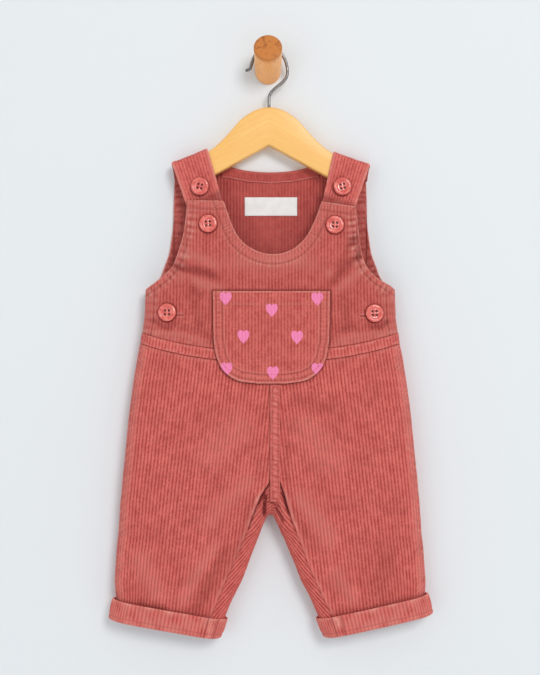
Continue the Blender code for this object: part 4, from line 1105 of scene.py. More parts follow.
def trouser(name, leg, side):
    """A front or back leg, and its flat area in square millimetres."""
    walked, groove, low, top, sign = leg_columns(leg, side)
    z = spread(low, top, 122)
    x = sign * leg_place(leg, z, inward(walked)[:, None])
    plain, normals = lay(x, z, side)
    d = inward(walked)[:, None] + 0 * z
    relief, rub, crush, strip_shade = side_strip(d, z, 21 + sign + side)
    near_middle = held((np.abs(x) - 2) / 14)
    creased = folds(x, z, leg_folds(leg, side)) * near_middle
    relief += creased
    # Fold ridges get painted highlight.
    rub += 0.30 * held(creased)
    relief += 0.35 * soft_noise(x, z, 60, 31 + sign) * near_middle * held(d / 14)
    outer = np.abs(outline(leg + "_outer", z))
    waist_down = waist_top(x * BIB_HALF_WIDTH / outer) - WAIST_HEIGHT - z
    lumps = soft_noise(walked[:, None], z * 0.4, 7, 41 + sign)
    relief -= pillow(waist_down, 1.2, 0.4) - (0.15 + 0.25 * lumps) * bell(waist_down, 3.0, 2.4)
    crush = np.maximum(crush, 0.8 * np.exp(-waist_down / 1.4))
    # Paler along the waist seam: real wear and painted highlight.
    rub += 0.30 * bell(waist_down, 2.4, 1.2) * held(0.5 + lumps)
    seam_near, seam_run = near_line(np.abs(x), z, inside_seam(leg, side))
    lip = bell(seam_near, 1.9, 1.3) * held((-392 - z) / 10)
    open_lip = lip * held((z + 442) / 14) * (side < 0)
    relief += 0.30 * lip + 0.55 * open_lip - pillow(seam_near, 1.5, 0.7)
    # The lips at the inside seam are paler: real wear and painted highlight.
    rub += (0.35 + 0.25 * soft_noise(seam_run, 0 * z, 9, 43)) * lip + 0.4 * open_lip
    crush = np.maximum(crush, 0.5 * bell(seam_near, 0.8, 1.6))
    above_cuff = z - cuff_top(x, leg)
    relief -= 0.4 * np.exp(-(np.maximum(above_cuff + 3, 0) / 5))
    relief = np.where(above_cuff < 0, np.clip(relief, -2, -0.2), relief)
    # Painted shade: at the cuff's top, under the waistband, in the side strip, in the pocket's shadow and
    # in fold troughs; then darker in soft random patches.
    shade = 0.55 * np.exp(-np.abs(above_cuff) / 2.2) + 0.2 * np.exp(-waist_down) + strip_shade
    shade = np.maximum(shade, beside_pocket(x, z) * (side < 0))
    shade += 0.34 * held(-creased / 1.2)
    shade += 0.10 * held(soft_noise(x, z, 34, 47 + sign))
    wobble = 0.10 * soft_noise(x, z * 0.2, 5.5, 5 + sign)
    made = cloth(name, plain, normals, groove[:, None], (walked[:, None], z),
                 relief + wobble * (1 - groove[:, None]), rub, shade, crush,
                 hold=hold_side(side), wale_depth=0.80)
    return made, float(np.trapz(top - low, walked))


legs = {}
for leg in ("left", "right"):
    legs[leg + "_front"] = trouser(leg + "_leg_front", leg, -1)
    legs[leg + "_back"] = trouser(leg + "_leg_back", leg, 1)

# %% [markdown]
# ## Between the legs
#
# Below the fork each back leg rolls round to the front as a strip with its wales on the
# slant, which makes the herringbone beside each inside seam.  The strip is a half turn:
# from the front seam to the fold between the legs and on to the back seam.  Across it a
# quarter cosine joins the three lines; its wales are slanted stripes in walked lengths.

# %% The fork's rows
FORK_ROWS = table("front_left front_right front_z fold fold_z back back_z", [
    (-0.5, -0.5, -388.9, -0.5, -421.3, -0.5, -405.9),
    (1.0, 9.0, -390.2, 0.9, -421.4, 1.5, -407.4),
    (3.6, 10.7, -394.0, 1.8, -421.8, 2.9, -408.8),
    (7.6, 12.5, -400.0, 3.3, -423.2, 6.0, -411.2),
    (11.4, 14.9, -408.6, 5.0, -426.5, 9.1, -416.0),
    (15.6, 17.9, -419.4, 7.3, -431.5, 13.3, -424.0),
    (19.8, 22.2, -431.8, 10.1, -439.0, 17.3, -436.0),
])
INLEG_TILT = math.radians(11.0)
INLEG_SLANT = math.radians(24.0)


def fork_curve(front, fold, back, share):
    """A quarter turn from the front seam to the fold, and another on to the back seam."""
    angle = share * math.pi
    fore = angle < math.pi / 2
    start = np.where(fore[..., None], front, back)
    flat = start + (fold - start) * np.sin(angle)[..., None]
    depth = np.where(fore, front[..., 1] - fold[..., 1], back[..., 1] - fold[..., 1])
    flat[..., 1] = fold[..., 1] + depth * np.abs(np.cos(angle))
    return flat


def inleg_chains(leg):
    """The front seam, fold and back seam of an inner leg from the fork to the hem, and lengths."""
    rows = FORK_ROWS
    end = cuff_top(CUFFS[leg]["inner"][0], leg) - CUFF_TUCK
    lower = np.linspace(-442.0, end, 14)
    fold = np.abs(outline(leg + "_inner", lower))
    tilt = math.tan(INLEG_TILT) * np.linspace(0.3, 1, len(lower))
    front_z = lower + tilt * (np.abs(outline(leg + "_seam", lower)) - fold)
    back_z = lower + tilt * (back_seam(lower) - fold)
    seam = np.abs(outline(leg + "_seam", front_z)) + 0.8
    behind = back_seam(back_z) + 0.6
    chains = [
        (np.append(rows["front_" + leg], seam), np.append(rows["front_z"], front_z), -1),
        (np.append(rows["fold"], fold), np.append(rows["fold_z"], lower), 0),
        (np.append(rows["back"], behind), np.append(rows["back_z"], back_z), 1),
    ]
    x, z, _ = chains[0]
    return chains, lengths_along(x, z)


# %% Inner legs
FORK_CREASES = [
    # x0, z0, x1, z1, width, height of the gathers where all the seams meet
    (-4.6, -402.0, -5.0, -420.5, 1.5, -2.2),
    (-1.0, -407.8, 9.0, -412.6, 0.8, -0.7),
    (4.6, -413.0, 12.0, -426.0, 1.5, -0.9),
    (11.0, -399.0, 17.0, -418.0, 1.5, -0.9),
    (-6.0, -398.0, -11.0, -411.0, 1.5, -0.9),
    (-8.5, -402.0, -14.0, -416.0, 1.3, 0.7),
    (8.0, -404.0, 14.5, -422.0, 1.2, 0.7),
]


def inleg(name, leg):
    """The inner leg, rolled round from the back, its wales on the slant, and its flat area."""
    sign = -1 if leg == "left" else 1
    chains, length = inleg_chains(leg)
    even = np.linspace(0, length[-1], 211)
    lines, ends = [], []
    for x, z, side in chains:
        x, z = sign * np.interp(even, length, x), np.interp(even, length, z)
        y = surface_y(x, z, side) if side else middle_plane(z)
        lines.append(np.stack([x, y, z], axis=-1)[:, None])
        ends.append(surface_normals(x, z, side) if side else None)
    share = np.linspace(0, 1, 73)[None, :].repeat(len(even), axis=0)
    grid = fork_curve(*lines, share)
    normals = unit(np.cross(np.gradient(grid, axis=1), np.gradient(grid, axis=0)))
    normals *= np.sign((normals[:, 0] * ends[0]).sum())
    normals[:, 0], normals[:, -1] = ends[0], ends[2]
    steps = np.linalg.norm(np.diff(grid, axis=1), axis=-1)
    across = np.concatenate([np.zeros((len(even), 1)), np.cumsum(steps, axis=1)], axis=1)
    stripes = (even[:, None] * math.sin(INLEG_SLANT) + across * math.cos(INLEG_SLANT)) / 3.3
    groove = 1.25 * np.abs(2 * (stripes % 1.0) - 1) ** 1.4 - 0.12
    edge = np.minimum(across, across[:, -1:] - across)
    lumps = soft_noise(even[:, None], edge, 9, 51 + sign)
    relief = -pillow(edge, 2.0, 0.8) + 0.14 * lumps * np.exp(-edge / 5) * held(edge)
    fork_near = held(1.6 - even[:, None] / 36)
    relief -= 0.7 * np.exp(-edge / 1.6) + 0.8 * np.exp(-across / 3.0) * fork_near
    creased = folds(grid[..., 0], grid[..., 2], FORK_CREASES, sway=0.2) * (across < 0.6 * across[:, -1:])
    relief += creased + 0.25 * soft_noise(grid[..., 0], grid[..., 2], 30, 53) * held(edge / 8)
    # Paler: worn edges and painted highlight on the gathers; painted shade near the fork, along the front
    # edge and in the gathers' hollows.
    rub = 0.3 * bell(edge, 1.8, 1.0) * held(0.5 + lumps) + 0.3 * held(creased)
    shade = 0.15 * held(1 - even[:, None] / 26) + held(-creased)
    shade += bell(across, 0, 2.2) * (0.25 + 0.75 * held(1.5 - even[:, None] / 28))
    made = cloth(name, grid, normals, groove, (across, even[:, None]), relief, rub,
                 held(shade), skip=6, wale_depth=1.0)
    return made, float(np.trapz(across[:, -1], even))


inlegs = {leg: inleg(leg + "_inner_leg", leg) for leg in ("left", "right")}

# %% [markdown]
# The middle front seam is folded over to the right and sewn down, a raised band 9 mm wide
# with a row of stitches near each side.  It lies on the right leg, and where the legs
# part it bends over the fork.


# %% The felled middle seam
def fork_face(x, height):
    """y of the right leg's front or inner leg surface at places x beside the fork."""
    if height > FORK_TOP:
        return surface_y(x, height, -1)
    rows = FORK_ROWS
    fallen = (rows["front_z"] - height) / (rows["front_z"] - rows["fold_z"])
    seam = float(outline("right_seam", height))
    passed = (fallen >= 0) & (fallen <= 1)
    fallen = fallen[passed]
    front, fold = rows["front_right"][passed], rows["fold"][passed]
    front_y = surface_y(front, rows["front_z"][passed], -1)
    fold_y = middle_plane(rows["fold_z"][passed])
    across = front + (fold - front) * fallen
    depth = fold_y + (front_y - fold_y) * np.sqrt(1 - fallen**2)
    return np.interp(x, np.append(across, seam), np.append(depth, surface_y(np.array(seam), height, -1)))


POCKET_BOTTOM = -297.3
FELL_LOW, FELL_LIFT, FELL_THICK = -407.0, 0.5, 1.2
FELL_ROWS = (2.1, 7.3)
fell_x = np.linspace(-0.7, 9.1, 31)
fell_z = np.linspace(FELL_LOW, POCKET_BOTTOM - 1.0, 180)
fell_y = np.stack([fork_face(fell_x, level) for level in fell_z], axis=1)
window = np.ones(9) / 9
padded_y = np.pad(fell_y, ((0, 0), (4, 4)), mode="edge")
fell_y = np.minimum(fell_y, np.stack([np.convolve(row, window, "valid") for row in padded_y]))
fell_slope = np.gradient(fell_y, fell_z, axis=1)
fell_normals = unit(np.stack([0 * fell_slope, -np.ones_like(fell_slope), fell_slope], axis=-1))
across, level = fell_x[:, None] + 0 * fell_y, fell_z[None, :] + 0 * fell_y
fell_wave = (level + 0.25 * across) / 4.9 * math.pi + 0.7 * soft_noise(0 * across, level, 14, 62)
fell_lumps = 0.4 * soft_noise(across * 1.3, level, 5.5, 61) - 0.5
fell_lumps += 1.3 * np.abs(np.sin(fell_wave)) * bell(across, 4.6, 3.2)
fell_edge = np.minimum(across + 0.7, 9.1 - across)
fell_relief = FELL_LIFT + FELL_THICK + 0.45 * fell_lumps - pillow(fell_edge, 1.3, 1.0)
for row in FELL_ROWS:
    fell_relief -= 0.45 * bell(across, row, 0.7)
# Paler at its folded edges and on its lumps: real wear and painted highlight; painted shadow beside its
# left edge and painted shade between its lumps.
fell_rub = 0.4 * bell(across, 0.5, 0.6) + 0.2 * bell(across, 8.4, 0.7) + 0.55 * held(fell_lumps)
fell_shade = 0.5 * bell(across, -0.7, 0.8) + 0.35 * held(-fell_lumps)
fell_plain = np.stack([across, fell_y, level], axis=-1)
fell = cloth("middle_seam", fell_plain, fell_normals, np.full(across.shape, 0.35),
             (fell_x[:, None], fell_z), fell_relief, fell_rub, fell_shade,
             thick=FELL_THICK + FELL_LIFT + 0.25, skip=4)

# %% [markdown]
# ## Turned-up cuffs
#
# A cuff is the leg's end turned outwards and up.  Its section is a closed loop: the ribbed
# outer wall, the fold at the bottom, a short way up inside and back again.  The loop is
# carried round the leg on a flat oval, closer together at its tight turns.

# %% The loop round a hem
CUFF_WALE, CUFF_CROWDING = 3.7, 12.0


def hem_loop(width, depth, count, grow):
    """Points round a leg in the plane of its hem, moved out by grow, closer at tight turns.

    The oval is depth * rise(run) * rise(width - run) in front of and behind its middle.
    """
    run = width * (1 - np.cos(np.linspace(0, math.pi, 1200))) / 2
    rise = depth * edge_rise(run) * edge_rise(width - run)
    places = np.concatenate([run, run[-2:0:-1]])
    offsets = np.concatenate([-rise, rise[-2:0:-1]])
    step = np.stack([np.roll(v, -1) - v for v in (places, offsets)])
    heading = np.unwrap(np.arctan2(step[1], step[0]))
    turned = np.abs(np.diff(heading, append=heading[0] + np.sign(heading[-1]) * 2 * math.pi))
    weight = np.hypot(*step) + CUFF_CROWDING * held(turned)
    walked = np.concatenate([[0], np.cumsum(weight)])
    even = np.linspace(0, walked[-1], count, endpoint=False)
    spots = [np.interp(even, walked, np.append(v, v[0])) for v in (places, offsets)]
    tangent = np.stack([np.roll(v, -1) - np.roll(v, 1) for v in spots])
    tangent /= np.linalg.norm(tangent, axis=0)
    return spots[0] + tangent[1] * grow, spots[1] - tangent[0] * grow


CUFF_SECTION = table(
    # grow is outwards from the leg, level is down from the top line, rib is the wales' share
    "grow level rib",
    [
        (2.55, 0.35, 0.5), (2.8, 0.9, 1), (2.9, 2.5, 1), (2.95, 4.5, 1), (3.0, 6.5, 1), (3.05, 8.5, 1),
        (3.05, 10.5, 1), (3.05, 12.0, 1), (3.0, 13.2, 0.9), (2.85, 14.2, 0.45), (2.55, 15.0, 0.3),
        (2.5, 15.5, 0.3), (2.75, 16.2, 0.6), (2.9, 17.2, 0.8), (2.7, 18.3, 0.8), (2.1, 19.2, 0.6),
        (1.2, 19.75, 0.4), (0.0, 19.9, 0.3), (-1.6, 19.8, 0.2), (-3.0, 19.5, 0.1), (-3.9, 18.7, 0),
        (-4.15, 16.0, 0), (-4.15, 7.2, 0), (-3.4, 6.9, 0), (-2.7, 7.2, 0), (-2.7, 16.0, 0),
        (-2.0, 17.4, 0), (0.2, 17.4, 0), (1.0, 16.0, 0), (1.0, 8.0, 0), (1.0, 1.0, 0), (1.3, 0.3, 0),
        (1.9, 0.1, 0.2),
    ],
)


# %% Both cuffs
def cuff_frame(leg):
    """Sizes and directions of one cuff: where it starts, across it, down it, width, depth, hem."""
    outer_end, inner_end = np.array(CUFFS[leg]["outer"]), np.array(CUFFS[leg]["inner"])
    width = np.linalg.norm(inner_end - outer_end)
    across = (inner_end - outer_end) / width
    down = np.array([across[1], -across[0]])
    down *= -np.sign(down[1])
    hem = outer_end[1] - CUFF_HEIGHT
    return outer_end, across, down, width, float(half_depth(hem)), hem


CUFF_SEAMS = {"left": 93.5, "right": 86.5}
CUFF_OUTSIDE = 19


def tapered(places, width, level):
    """Places along a cuff, moved in at its inner end and out at its outer end further down."""
    inner = held(1 - (width - places) / 40) ** 2
    outer = held(1 - places / 30) ** 2
    return places - (0.19 * inner + 0.06 * outer) * level


def cuff(name, leg):
    """A turn-up as a closed loop carried round the leg."""
    start, across, down, width, depth, hem = cuff_frame(leg)
    around = 2 * (width + depth) + CUFF_CROWDING * 2 * math.pi
    t = (np.arange(round(around / CUFF_WALE))[:, None] + WALE_STEPS[None, :]).ravel()
    groove = np.abs(2 * (t % 1.0) - 1) ** 1.8
    run = t * CUFF_WALE
    seam = np.abs(hem_loop(width, depth, len(t), 0)[0] - CUFF_SEAMS[leg])
    scallop = 0.42 * np.cos(2 * math.pi * t) + 0.35 * soft_noise(run, run * 0, 34, 71 + len(leg))
    shape = []
    for grow, level, rib in zip(*CUFF_SECTION.values()):
        swell = 0.35 * rib * soft_noise(run, run * 0 + level, 26, 77) + 0.45 * rib * bell(seam, 0, 2.4)
        places, offsets = hem_loop(width, depth, len(t), grow + swell - 0.80 * rib * groove)
        drop = level + scallop * (np.exp(-level / 2.0) * rib * 1.2 + 0.4 * rib * (level > 15))
        spot = start + np.outer(tapered(places, width, level), across) + down * drop[:, None]
        shape.append(np.stack([spot[:, 0], middle_plane(hem) + offsets, spot[:, 1]], axis=-1))
    points = np.stack(shape, axis=1)
    points[..., 0] += GARMENT_X
    numbers = np.pad(numbered(*points.shape[:2]), ((0, 1), (0, 1)), mode="wrap")
    level, rib = CUFF_SECTION["level"][None, :], CUFF_SECTION["rib"][None, :]
    outside = np.arange(level.size)[None, :] < CUFF_OUTSIDE
    # Paler all over the outside and most at the top fold and the seam: real wear and painted highlight;
    # painted shade at the stitch line and beside the seam.
    rub = 0.34 + 1.0 * np.exp(-level / 1.3) + 0.5 * bell(seam[:, None], 0, 2.4)
    rub = rub + 0.35 * bell(level, 19.5, 1.2) + 0.12 * bell(level, 16.6, 0.8)
    rub = outside * rub * held(0.75 + 0.6 * soft_noise(run[:, None], level, 12, 78))
    made = piece(name, points, [quads_of(numbers)], cord,
                 uv=np.stack(np.broadcast_arrays(run[:, None], level), axis=-1),
                 groove=np.where(rib > 0, groove[:, None] * (0.4 + 0.6 * rib), 0.6), rub=rub,
                 shade=(0.25 * bell(level, 15.1, 0.6) + 0.5 * bell(seam[:, None], 4.2, 0.8)) * outside)
    print(name, len(made.data.polygons), "faces")
    return made


cuffs = {leg: cuff(leg + "_cuff", leg) for leg in ("left", "right")}

# %% [markdown]
# ## Straps
#
# Each strap comes up from under the tab, leans outwards, folds over the hanger's arm and
# drops behind it.  The path is a short table of drops below the fold and reaches out from
# the hanger's middle plane.  Its sides are turned in, which makes a thick rolled rim that
# has been rubbed pale and is painted paler still as painted highlight.

# %% Both straps
STRAP_PATH = table("drop reach", [
    (74.0, -9.3), (60.0, -9.2), (46.0, -9.0), (30.0, -8.7), (16.0, -8.4), (6.0, -8.3), (2.2, -7.2),
    (0.5, -4.4), (0.0, 0.0), (0.5, 4.4), (2.2, 7.2), (6.0, 8.3), (10.5, 8.3), (16.0, 6.9),
])
STRAPS = {
    # fold's middle, its slope, width, lean in front, taper
    "left": ((76.3, -82.4), math.radians(21.8), 36.5, math.radians(17.6), 0.12),
    "right": ((76.9, -84.7), math.radians(19.2), 36.7, math.radians(16.0), 0.24),
}
STRAP_BACK_LEAN = math.radians(8.0)


def strap_grid(side, wide, turned):
    """Plain points of a strap: wide is across it, turned the way along it from 0 to 1."""
    fold, slope, _, front_lean, narrowing = STRAPS[side]
    sign = -1 if side == "left" else 1
    drop, reach = STRAP_PATH["drop"], STRAP_PATH["reach"]
    length = lengths_along(drop, reach)
    drop_at = np.interp(turned * length[-1], length, drop)[None, :]
    reach_at = np.interp(turned * length[-1], length, reach)[None, :]
    front = reach_at < 0
    lean = np.where(front, front_lean, STRAP_BACK_LEAN)
    taper = 1 - narrowing * np.where(front, drop_at / drop.max(), 0)
    x = fold[0] - drop_at * np.sin(lean) - wide * math.cos(slope) * taper
    z = fold[1] - drop_at * np.cos(lean) + wide * math.sin(slope) * taper
    under_tab = surface_y(sign * x, z, -1) + CLOTH + 2 * SEAM_GAP
    tucked = held((drop_at - 30) / 16) * front
    y = under_tab * tucked + (HANGER_PLANE + reach_at) * (1 - tucked)
    return np.stack([sign * x, y, z], axis=-1), tucked, length[-1]


STRAP_SPOTS = {"left": (-66.0, -113.0), "right": (67.5, -113.0)}


def strap(name, side):
    """A strap over the hanger."""
    width = STRAPS[side][2]
    walked, groove = wale_columns(width, WALE_PITCH)
    wide = (walked - width / 2)[:, None]
    turned = np.linspace(0, 1, 121)
    grid, tucked, length = strap_grid(side, wide, turned)
    slope = np.gradient(grid, axis=1)
    normals = unit(np.stack([0 * slope[..., 1], -slope[..., 2], slope[..., 1]], axis=-1))
    run = turned[None, :] * length
    edge = width / 2 - np.abs(wide) + 0 * run
    lumps = soft_noise(wide * 0.8, run, 8, len(side))
    free = 1 - tucked
    relief = (0.30 * bell(edge, 2.2, 1.6) + 0.16 * lumps) * free - pillow(edge, 1.7, 0.9)
    ring, ring_shade = pressed(grid[..., 0], grid[..., 2], [STRAP_SPOTS[side]])
    outside = grid[..., 1] < HANGER_PLANE
    relief += 0.5 * ring * outside
    # Paler rims and a pale band: real wear and painted highlight; painted shade where it goes under the
    # tab, and a ring of painted shadow round the button.
    rub = held(1.2 - edge / 1.4) * held(0.75 + 0.5 * lumps) + 0.3 * bell(edge, 2.4, 1.0)
    rub = rub + 0.35 * bell(run, 29.5, 6.0) * held(0.4 + lumps)
    shade = np.maximum(0.6 * held((tucked - 0.55) * 3), ring_shade * outside)
    return cloth(name, grid, normals, 0.8 * groove[:, None], (wide, run), relief, rub, shade,
                 0.8 * np.exp(-((edge / 2.6) ** 2)), wale_depth=0.5)


straps = {side: strap(side + "_strap", side) for side in ("left", "right")}

# %% [markdown]
# ## The pouch pocket
#
# The pocket is hemmed along its top and sewn down round its sides and rounded bottom with
# two rows of stitches, one at the very edge and one 8 mm in.  Between the rows the doubled
# cloth puckers like a ladder.  It lies on the bib and on the waistband.

# %% The pocket
POCKET_RISE = WAIST_PROUD + SEAM_GAP + CLOTH


def pocket_relief(x, z):
    """Relief, wear and highlight, crush and painted shade of the pocket without its wales."""
    d, run = near_line(x, z, pocket_line)
    uneven = soft_noise(run, run * 0.2, 30, 91)
    ladder = np.sin(run / 4.1 * 2 * math.pi + 1.5 * uneven) * np.exp(-(((d - 4.6) / 3.6) ** 4))
    inside = 1 / (1 + np.exp((d - 8.4) / 0.7))
    relief = 0.30 * inside + 0.22 * ladder - 0.60 * bell(d, 8.4, 0.9) - 0.45 * bell(d, 3.0, 0.7)
    beads = np.abs(np.sin(run / 2.6 * math.pi))
    relief += 0.40 * bell(d, 0.7, 0.9) * (0.5 + 0.6 * beads) - pillow(d, 0.9, 0.9)
    down = POCKET_TOP - z
    relief += 0.20 / (1 + np.exp((down - 12.2) / 0.8)) - 0.32 * bell(down, 12.2, 0.9)
    relief += 0.18 * soft_noise(x, 0 * z, 9, 93) * np.exp(-(((down - 9) / 5) ** 2))
    relief -= pillow(down, 1.4, 0.9)
    # Paler: the beaded rim, the hem's edge and lines and the ladder's tops, for real wear and painted
    # highlight.
    rub = held(1.35 - d / 1.3) * (0.55 + 0.45 * beads)
    rub = np.maximum(rub, 0.75 * held(1.5 - down / 1.3))
    rub += 0.30 * held(ladder) + 0.30 * bell(down, 12.2, 0.8) + 0.35 * bell(d, 10.0, 0.8)
    # Painted shade over the whole pocket and in its stitch lines.
    shade = 0.10 + 0.45 * bell(d, 3.0, 0.6) + 0.4 * bell(d, 8.4, 0.7) + 0.12 * bell(down, 13.6, 0.6)
    swell = 0.8 * held(1 - ((x - 1) / 48) ** 2) * held(1 - ((z + 250) / 42) ** 2)
    return relief + swell, held(rub), 0.55 * inside, held(shade)


place, groove, walked = across_columns(*POCKET_EDGE["across"][[0, -1]], WALE_PITCH)
low = cut_edge(place, POCKET_EDGE)
z = spread(low, np.full(len(place), POCKET_TOP), 110)
x = place[:, None] + 0 * z
plain, normals = lay(x, z, -1, POCKET_RISE)
relief, rub, crush, shade = pocket_relief(x, z)
pocket_area = float(np.trapz(POCKET_TOP - low, walked))
print("pocket cut:", round(pocket_area / 100, 1), "square cm")

# %% [markdown]
# Eight small hearts are printed on the pocket.  A heart is a round spot whose middle line
# is bent up at both sides: the distance sqrt(u^2 + (v - 0.72 sqrt|u|)^2) stays under one.
# The ink sits on the wales and hardly reaches into the grooves.

# %% A node group for one heart
heart, (spot_at, across_at, height_at, size), heart_out = new_group(
    "heart spot", [("V", "Place"), ("F", "Across"), ("F", "Height"), ("F", "Size")], [("F", "Mask")]
)
split = add(heart, "ShaderNodeSeparateXYZ")
join(spot_at, split, 0)
u = maths("DIVIDE", maths("SUBTRACT", split.outputs["X"], across_at), size)
v = maths("DIVIDE", maths("SUBTRACT", split.outputs["Z"], height_at), size)
side_u = maths("ABSOLUTE", u)
bent = maths("SUBTRACT", maths("ADD", v, 0.18), maths("MULTIPLY", maths("SQRT", side_u), 0.72))
squares = [maths("POWER", w, 2.0) for w in (side_u, maths("ABSOLUTE", bent))]
join(remapped(maths("SQRT", maths("ADD", *squares)), 0.90, 1.02, 1.0, 0.0), heart_out, "Mask")

# %% The printed pocket
HEARTS = [
    # across, height of each heart's middle
    (-39.3, -218.8), (45.8, -219.2), (3.6, -229.6), (-22.7, -254.3),
    (26.9, -254.9), (-38.4, -284.2), (4.6, -287.9), (45.9, -284.6),
]
HEART_SIZE = 5.7
HEART_PINK = (0.860, 0.235, 0.440, 1.0)
cord_printed, tree, shader, cord_colour = corduroy("coral corduroy, printed")
spot_place = object_place(tree)
mask = 0.0
for across, level in HEARTS:
    values = {"Place": spot_place, "Across": across * MM, "Height": level * MM, "Size": HEART_SIZE * MM}
    mask = maths("MAXIMUM", filled("ShaderNodeGroup", values, node_tree=heart).outputs[0], mask)
taken = maths("SUBTRACT", 1.0, maths("MULTIPLY", mark_on(tree, "groove"), 0.22))
join(mixed(maths("MULTIPLY", mask, taken), cord_colour, HEART_PINK), shader, "Base Color")

pocket = cloth("pouch_pocket", plain, normals, 0.88 * groove[:, None], (walked[:, None], z), relief,
               rub, shade, crush, finish=cord_printed, wale_depth=0.36)

# %% [markdown]
# ## Inside the back of the neck
#
# The neckline is faced inside with a band, its lower edge stitched down, and a bare woven
# label is sewn below it.

# %% Neck facing and label
def inner_patch(name, x, low, top, rows, thick, relief, finish, **marks):
    """A flat piece on the inner face of the back bib, thick millimetres through."""
    z = spread(low, top, rows)
    places = x[:, None] + 0 * z
    plain, normals = lay(places, z, 1)
    far = plain - normals * (CLOTH + SEAM_GAP + thick + relief(places, z))[..., None]
    near = plain - normals * (CLOTH + SEAM_GAP)
    number = numbered(*z.shape)
    points = np.concatenate([far.reshape(-1, 3), near.reshape(-1, 3)])
    points[:, 0] += GARMENT_X
    uv = np.stack([places, z], axis=-1).reshape(-1, 2)
    marks = {k: np.tile(f(places, z).ravel(), 2) for k, f in marks.items()}
    return piece(name, points, wall_faces(number, number + number.size), finish,
                 uv=np.concatenate([uv, uv]), **marks)


FACING_HALF_WIDTH, FACING_BELOW_EDGE, FACING_HEIGHT = 46.0, 0.8, 9.8
x = wale_columns(2 * FACING_HALF_WIDTH, WALE_PITCH)[0] - FACING_HALF_WIDTH


def neck_edge(x):
    return np.interp(x, BACK_EDGE["across"], BACK_EDGE["height"]) - FACING_BELOW_EDGE


def facing_relief(x, z):
    edge = np.minimum(neck_edge(x) - z, FACING_HEIGHT - neck_edge(x) + z)
    dip = 0.30 * bell(neck_edge(x) - z, FACING_HEIGHT - 1.7, 0.6)
    return 0.10 * soft_noise(x, z * 0.5, 7, 101) - dip - pillow(edge, 1.1, 0.6)


# Paler at the facing's edges: real wear and painted highlight.
def facing_rub(x, z):
    down = neck_edge(x) - z
    return 0.5 * bell(down, FACING_HEIGHT - 0.6, 0.5) + 0.25 * bell(down, 0.5, 0.8)


facing = inner_patch(
    "neck_facing", x, neck_edge(x) - FACING_HEIGHT, neck_edge(x), 22, 1.0, facing_relief, cord_inside,
    groove=lambda x, z: 0.25 + 0.20 * np.abs(np.cos(x / WALE_PITCH * math.pi)) ** 3,
    rub=facing_rub, shade=lambda x, z: 0 * x,
)

# %% Label finish: a woven satin ribbon with stitched ends
ribbon, tree, shader = new_finish(
    "label ribbon", Roughness=0.62, Sheen_Weight=0.12, Specular_IOR_Level=0.35
)
weave = cloth_place(tree)
ribs, warp = [
    filled("ShaderNodeTexWave", {"Vector": weave, "Scale": scale, "Distortion": bend},
           wave_type="BANDS", bands_direction=way).outputs["Fac"]
    for way, scale, bend in (("Y", 520.0, 0.4), ("X", 640.0, 0.6))
]
stain = remapped(noise(weave, 120.0, 3.0), 0.3, 0.7)
tone = mixed(stain, (0.80, 0.76, 0.73, 1.0), (0.86, 0.83, 0.81, 1.0))
join(mixed(maths("MULTIPLY", ribs, 0.12), tone, (0.62, 0.56, 0.53, 1.0)), shader, "Base Color")
bumped(shader, maths("ADD", ribs, maths("MULTIPLY", warp, 0.6)), 0.35, 0.0001)

# %% The label
LABEL_LEFT, LABEL_TOP, LABEL_WIDTH, LABEL_HEIGHT = -24.4, -121.0, 50.0, 17.7
x = np.linspace(LABEL_LEFT, LABEL_LEFT + LABEL_WIDTH, 61)


def label_relief(x, z):
    end = np.minimum(x - LABEL_LEFT, LABEL_LEFT + LABEL_WIDTH - x)
    side = np.minimum(LABEL_TOP - z, z - LABEL_TOP + LABEL_HEIGHT)
    wave = 0.16 * soft_noise(x, z, 26, 111) - 0.22 * bell(end, 1.7, 0.6)
    return wave - 0.25 * pillow(np.minimum(end, side), 0.7, 1.0)


label_top = np.full(len(x), LABEL_TOP)
label = inner_patch("neck_label", x, label_top - LABEL_HEIGHT, label_top, 25, 0.5, label_relief, ribbon)
print(label.name, len(label.data.polygons), "faces")

# %% [markdown]
# ## Buttons
#
# Six pressed buttons with a raised rim, a dished middle and four holes.  A button is its
# section turned about its axis, a polar grid of radius and angle; the holes are four soft
# pits, each a smooth step down at a hole's radius.

# %% Button finish: polished coral resin
resin, tree, shader = new_finish(
    "coral resin", Roughness=0.22, Coat_Weight=0.6, Coat_Roughness=0.10, Specular_IOR_Level=0.5
)
cloud = noise(object_place(tree), 260.0, 3.0, distortion=0.8)
tone = mixed(remapped(cloud, 0.35, 0.68), (0.640, 0.088, 0.070, 1.0), (0.840, 0.200, 0.160, 1.0))
# The holes are painted near black: painted shade in them.
join(mixed(mark_on(tree, "pit"), tone, (0.075, 0.010, 0.008, 1.0)), shader, "Base Color")
bumped(shader, cloud, 0.08, 0.0001)

# %% Buttons
HOLE_RADIUS, HOLE_OFFSET = 0.98, 1.8
BUTTONS = [
    # node, across, height, lift off the cloth, turn in degrees
    ("button_strap_left", -66.0, -113.0, -0.6, -12.0),
    ("button_strap_right", 67.5, -113.0, -0.6, 12.0),
    ("button_tab_left", -58.2, -148.2, 0.25, 3.0),
    ("button_tab_right", 60.3, -149.3, 0.25, -4.0),
    ("button_side_left", -96.0, -231.2, 0.25, 0.0),
    ("button_side_right", 96.9, -232.0, 0.25, 2.0),
]
RIM_SECTION = table("radius level", [
    (0.0, 1.75), (2.0, 1.72), (3.4, 1.70), (4.3, 1.78), (4.9, 2.05), (5.4, 2.50), (5.9, 2.78),
    (6.4, 2.86), (6.9, 2.80), (7.4, 2.60), (7.8, 2.20), (8.05, 1.70), (8.1, 1.25), (7.9, 0.70),
    (7.4, 0.30), (6.4, 0.08), (3.0, 0.0), (0.0, 0.0),
])
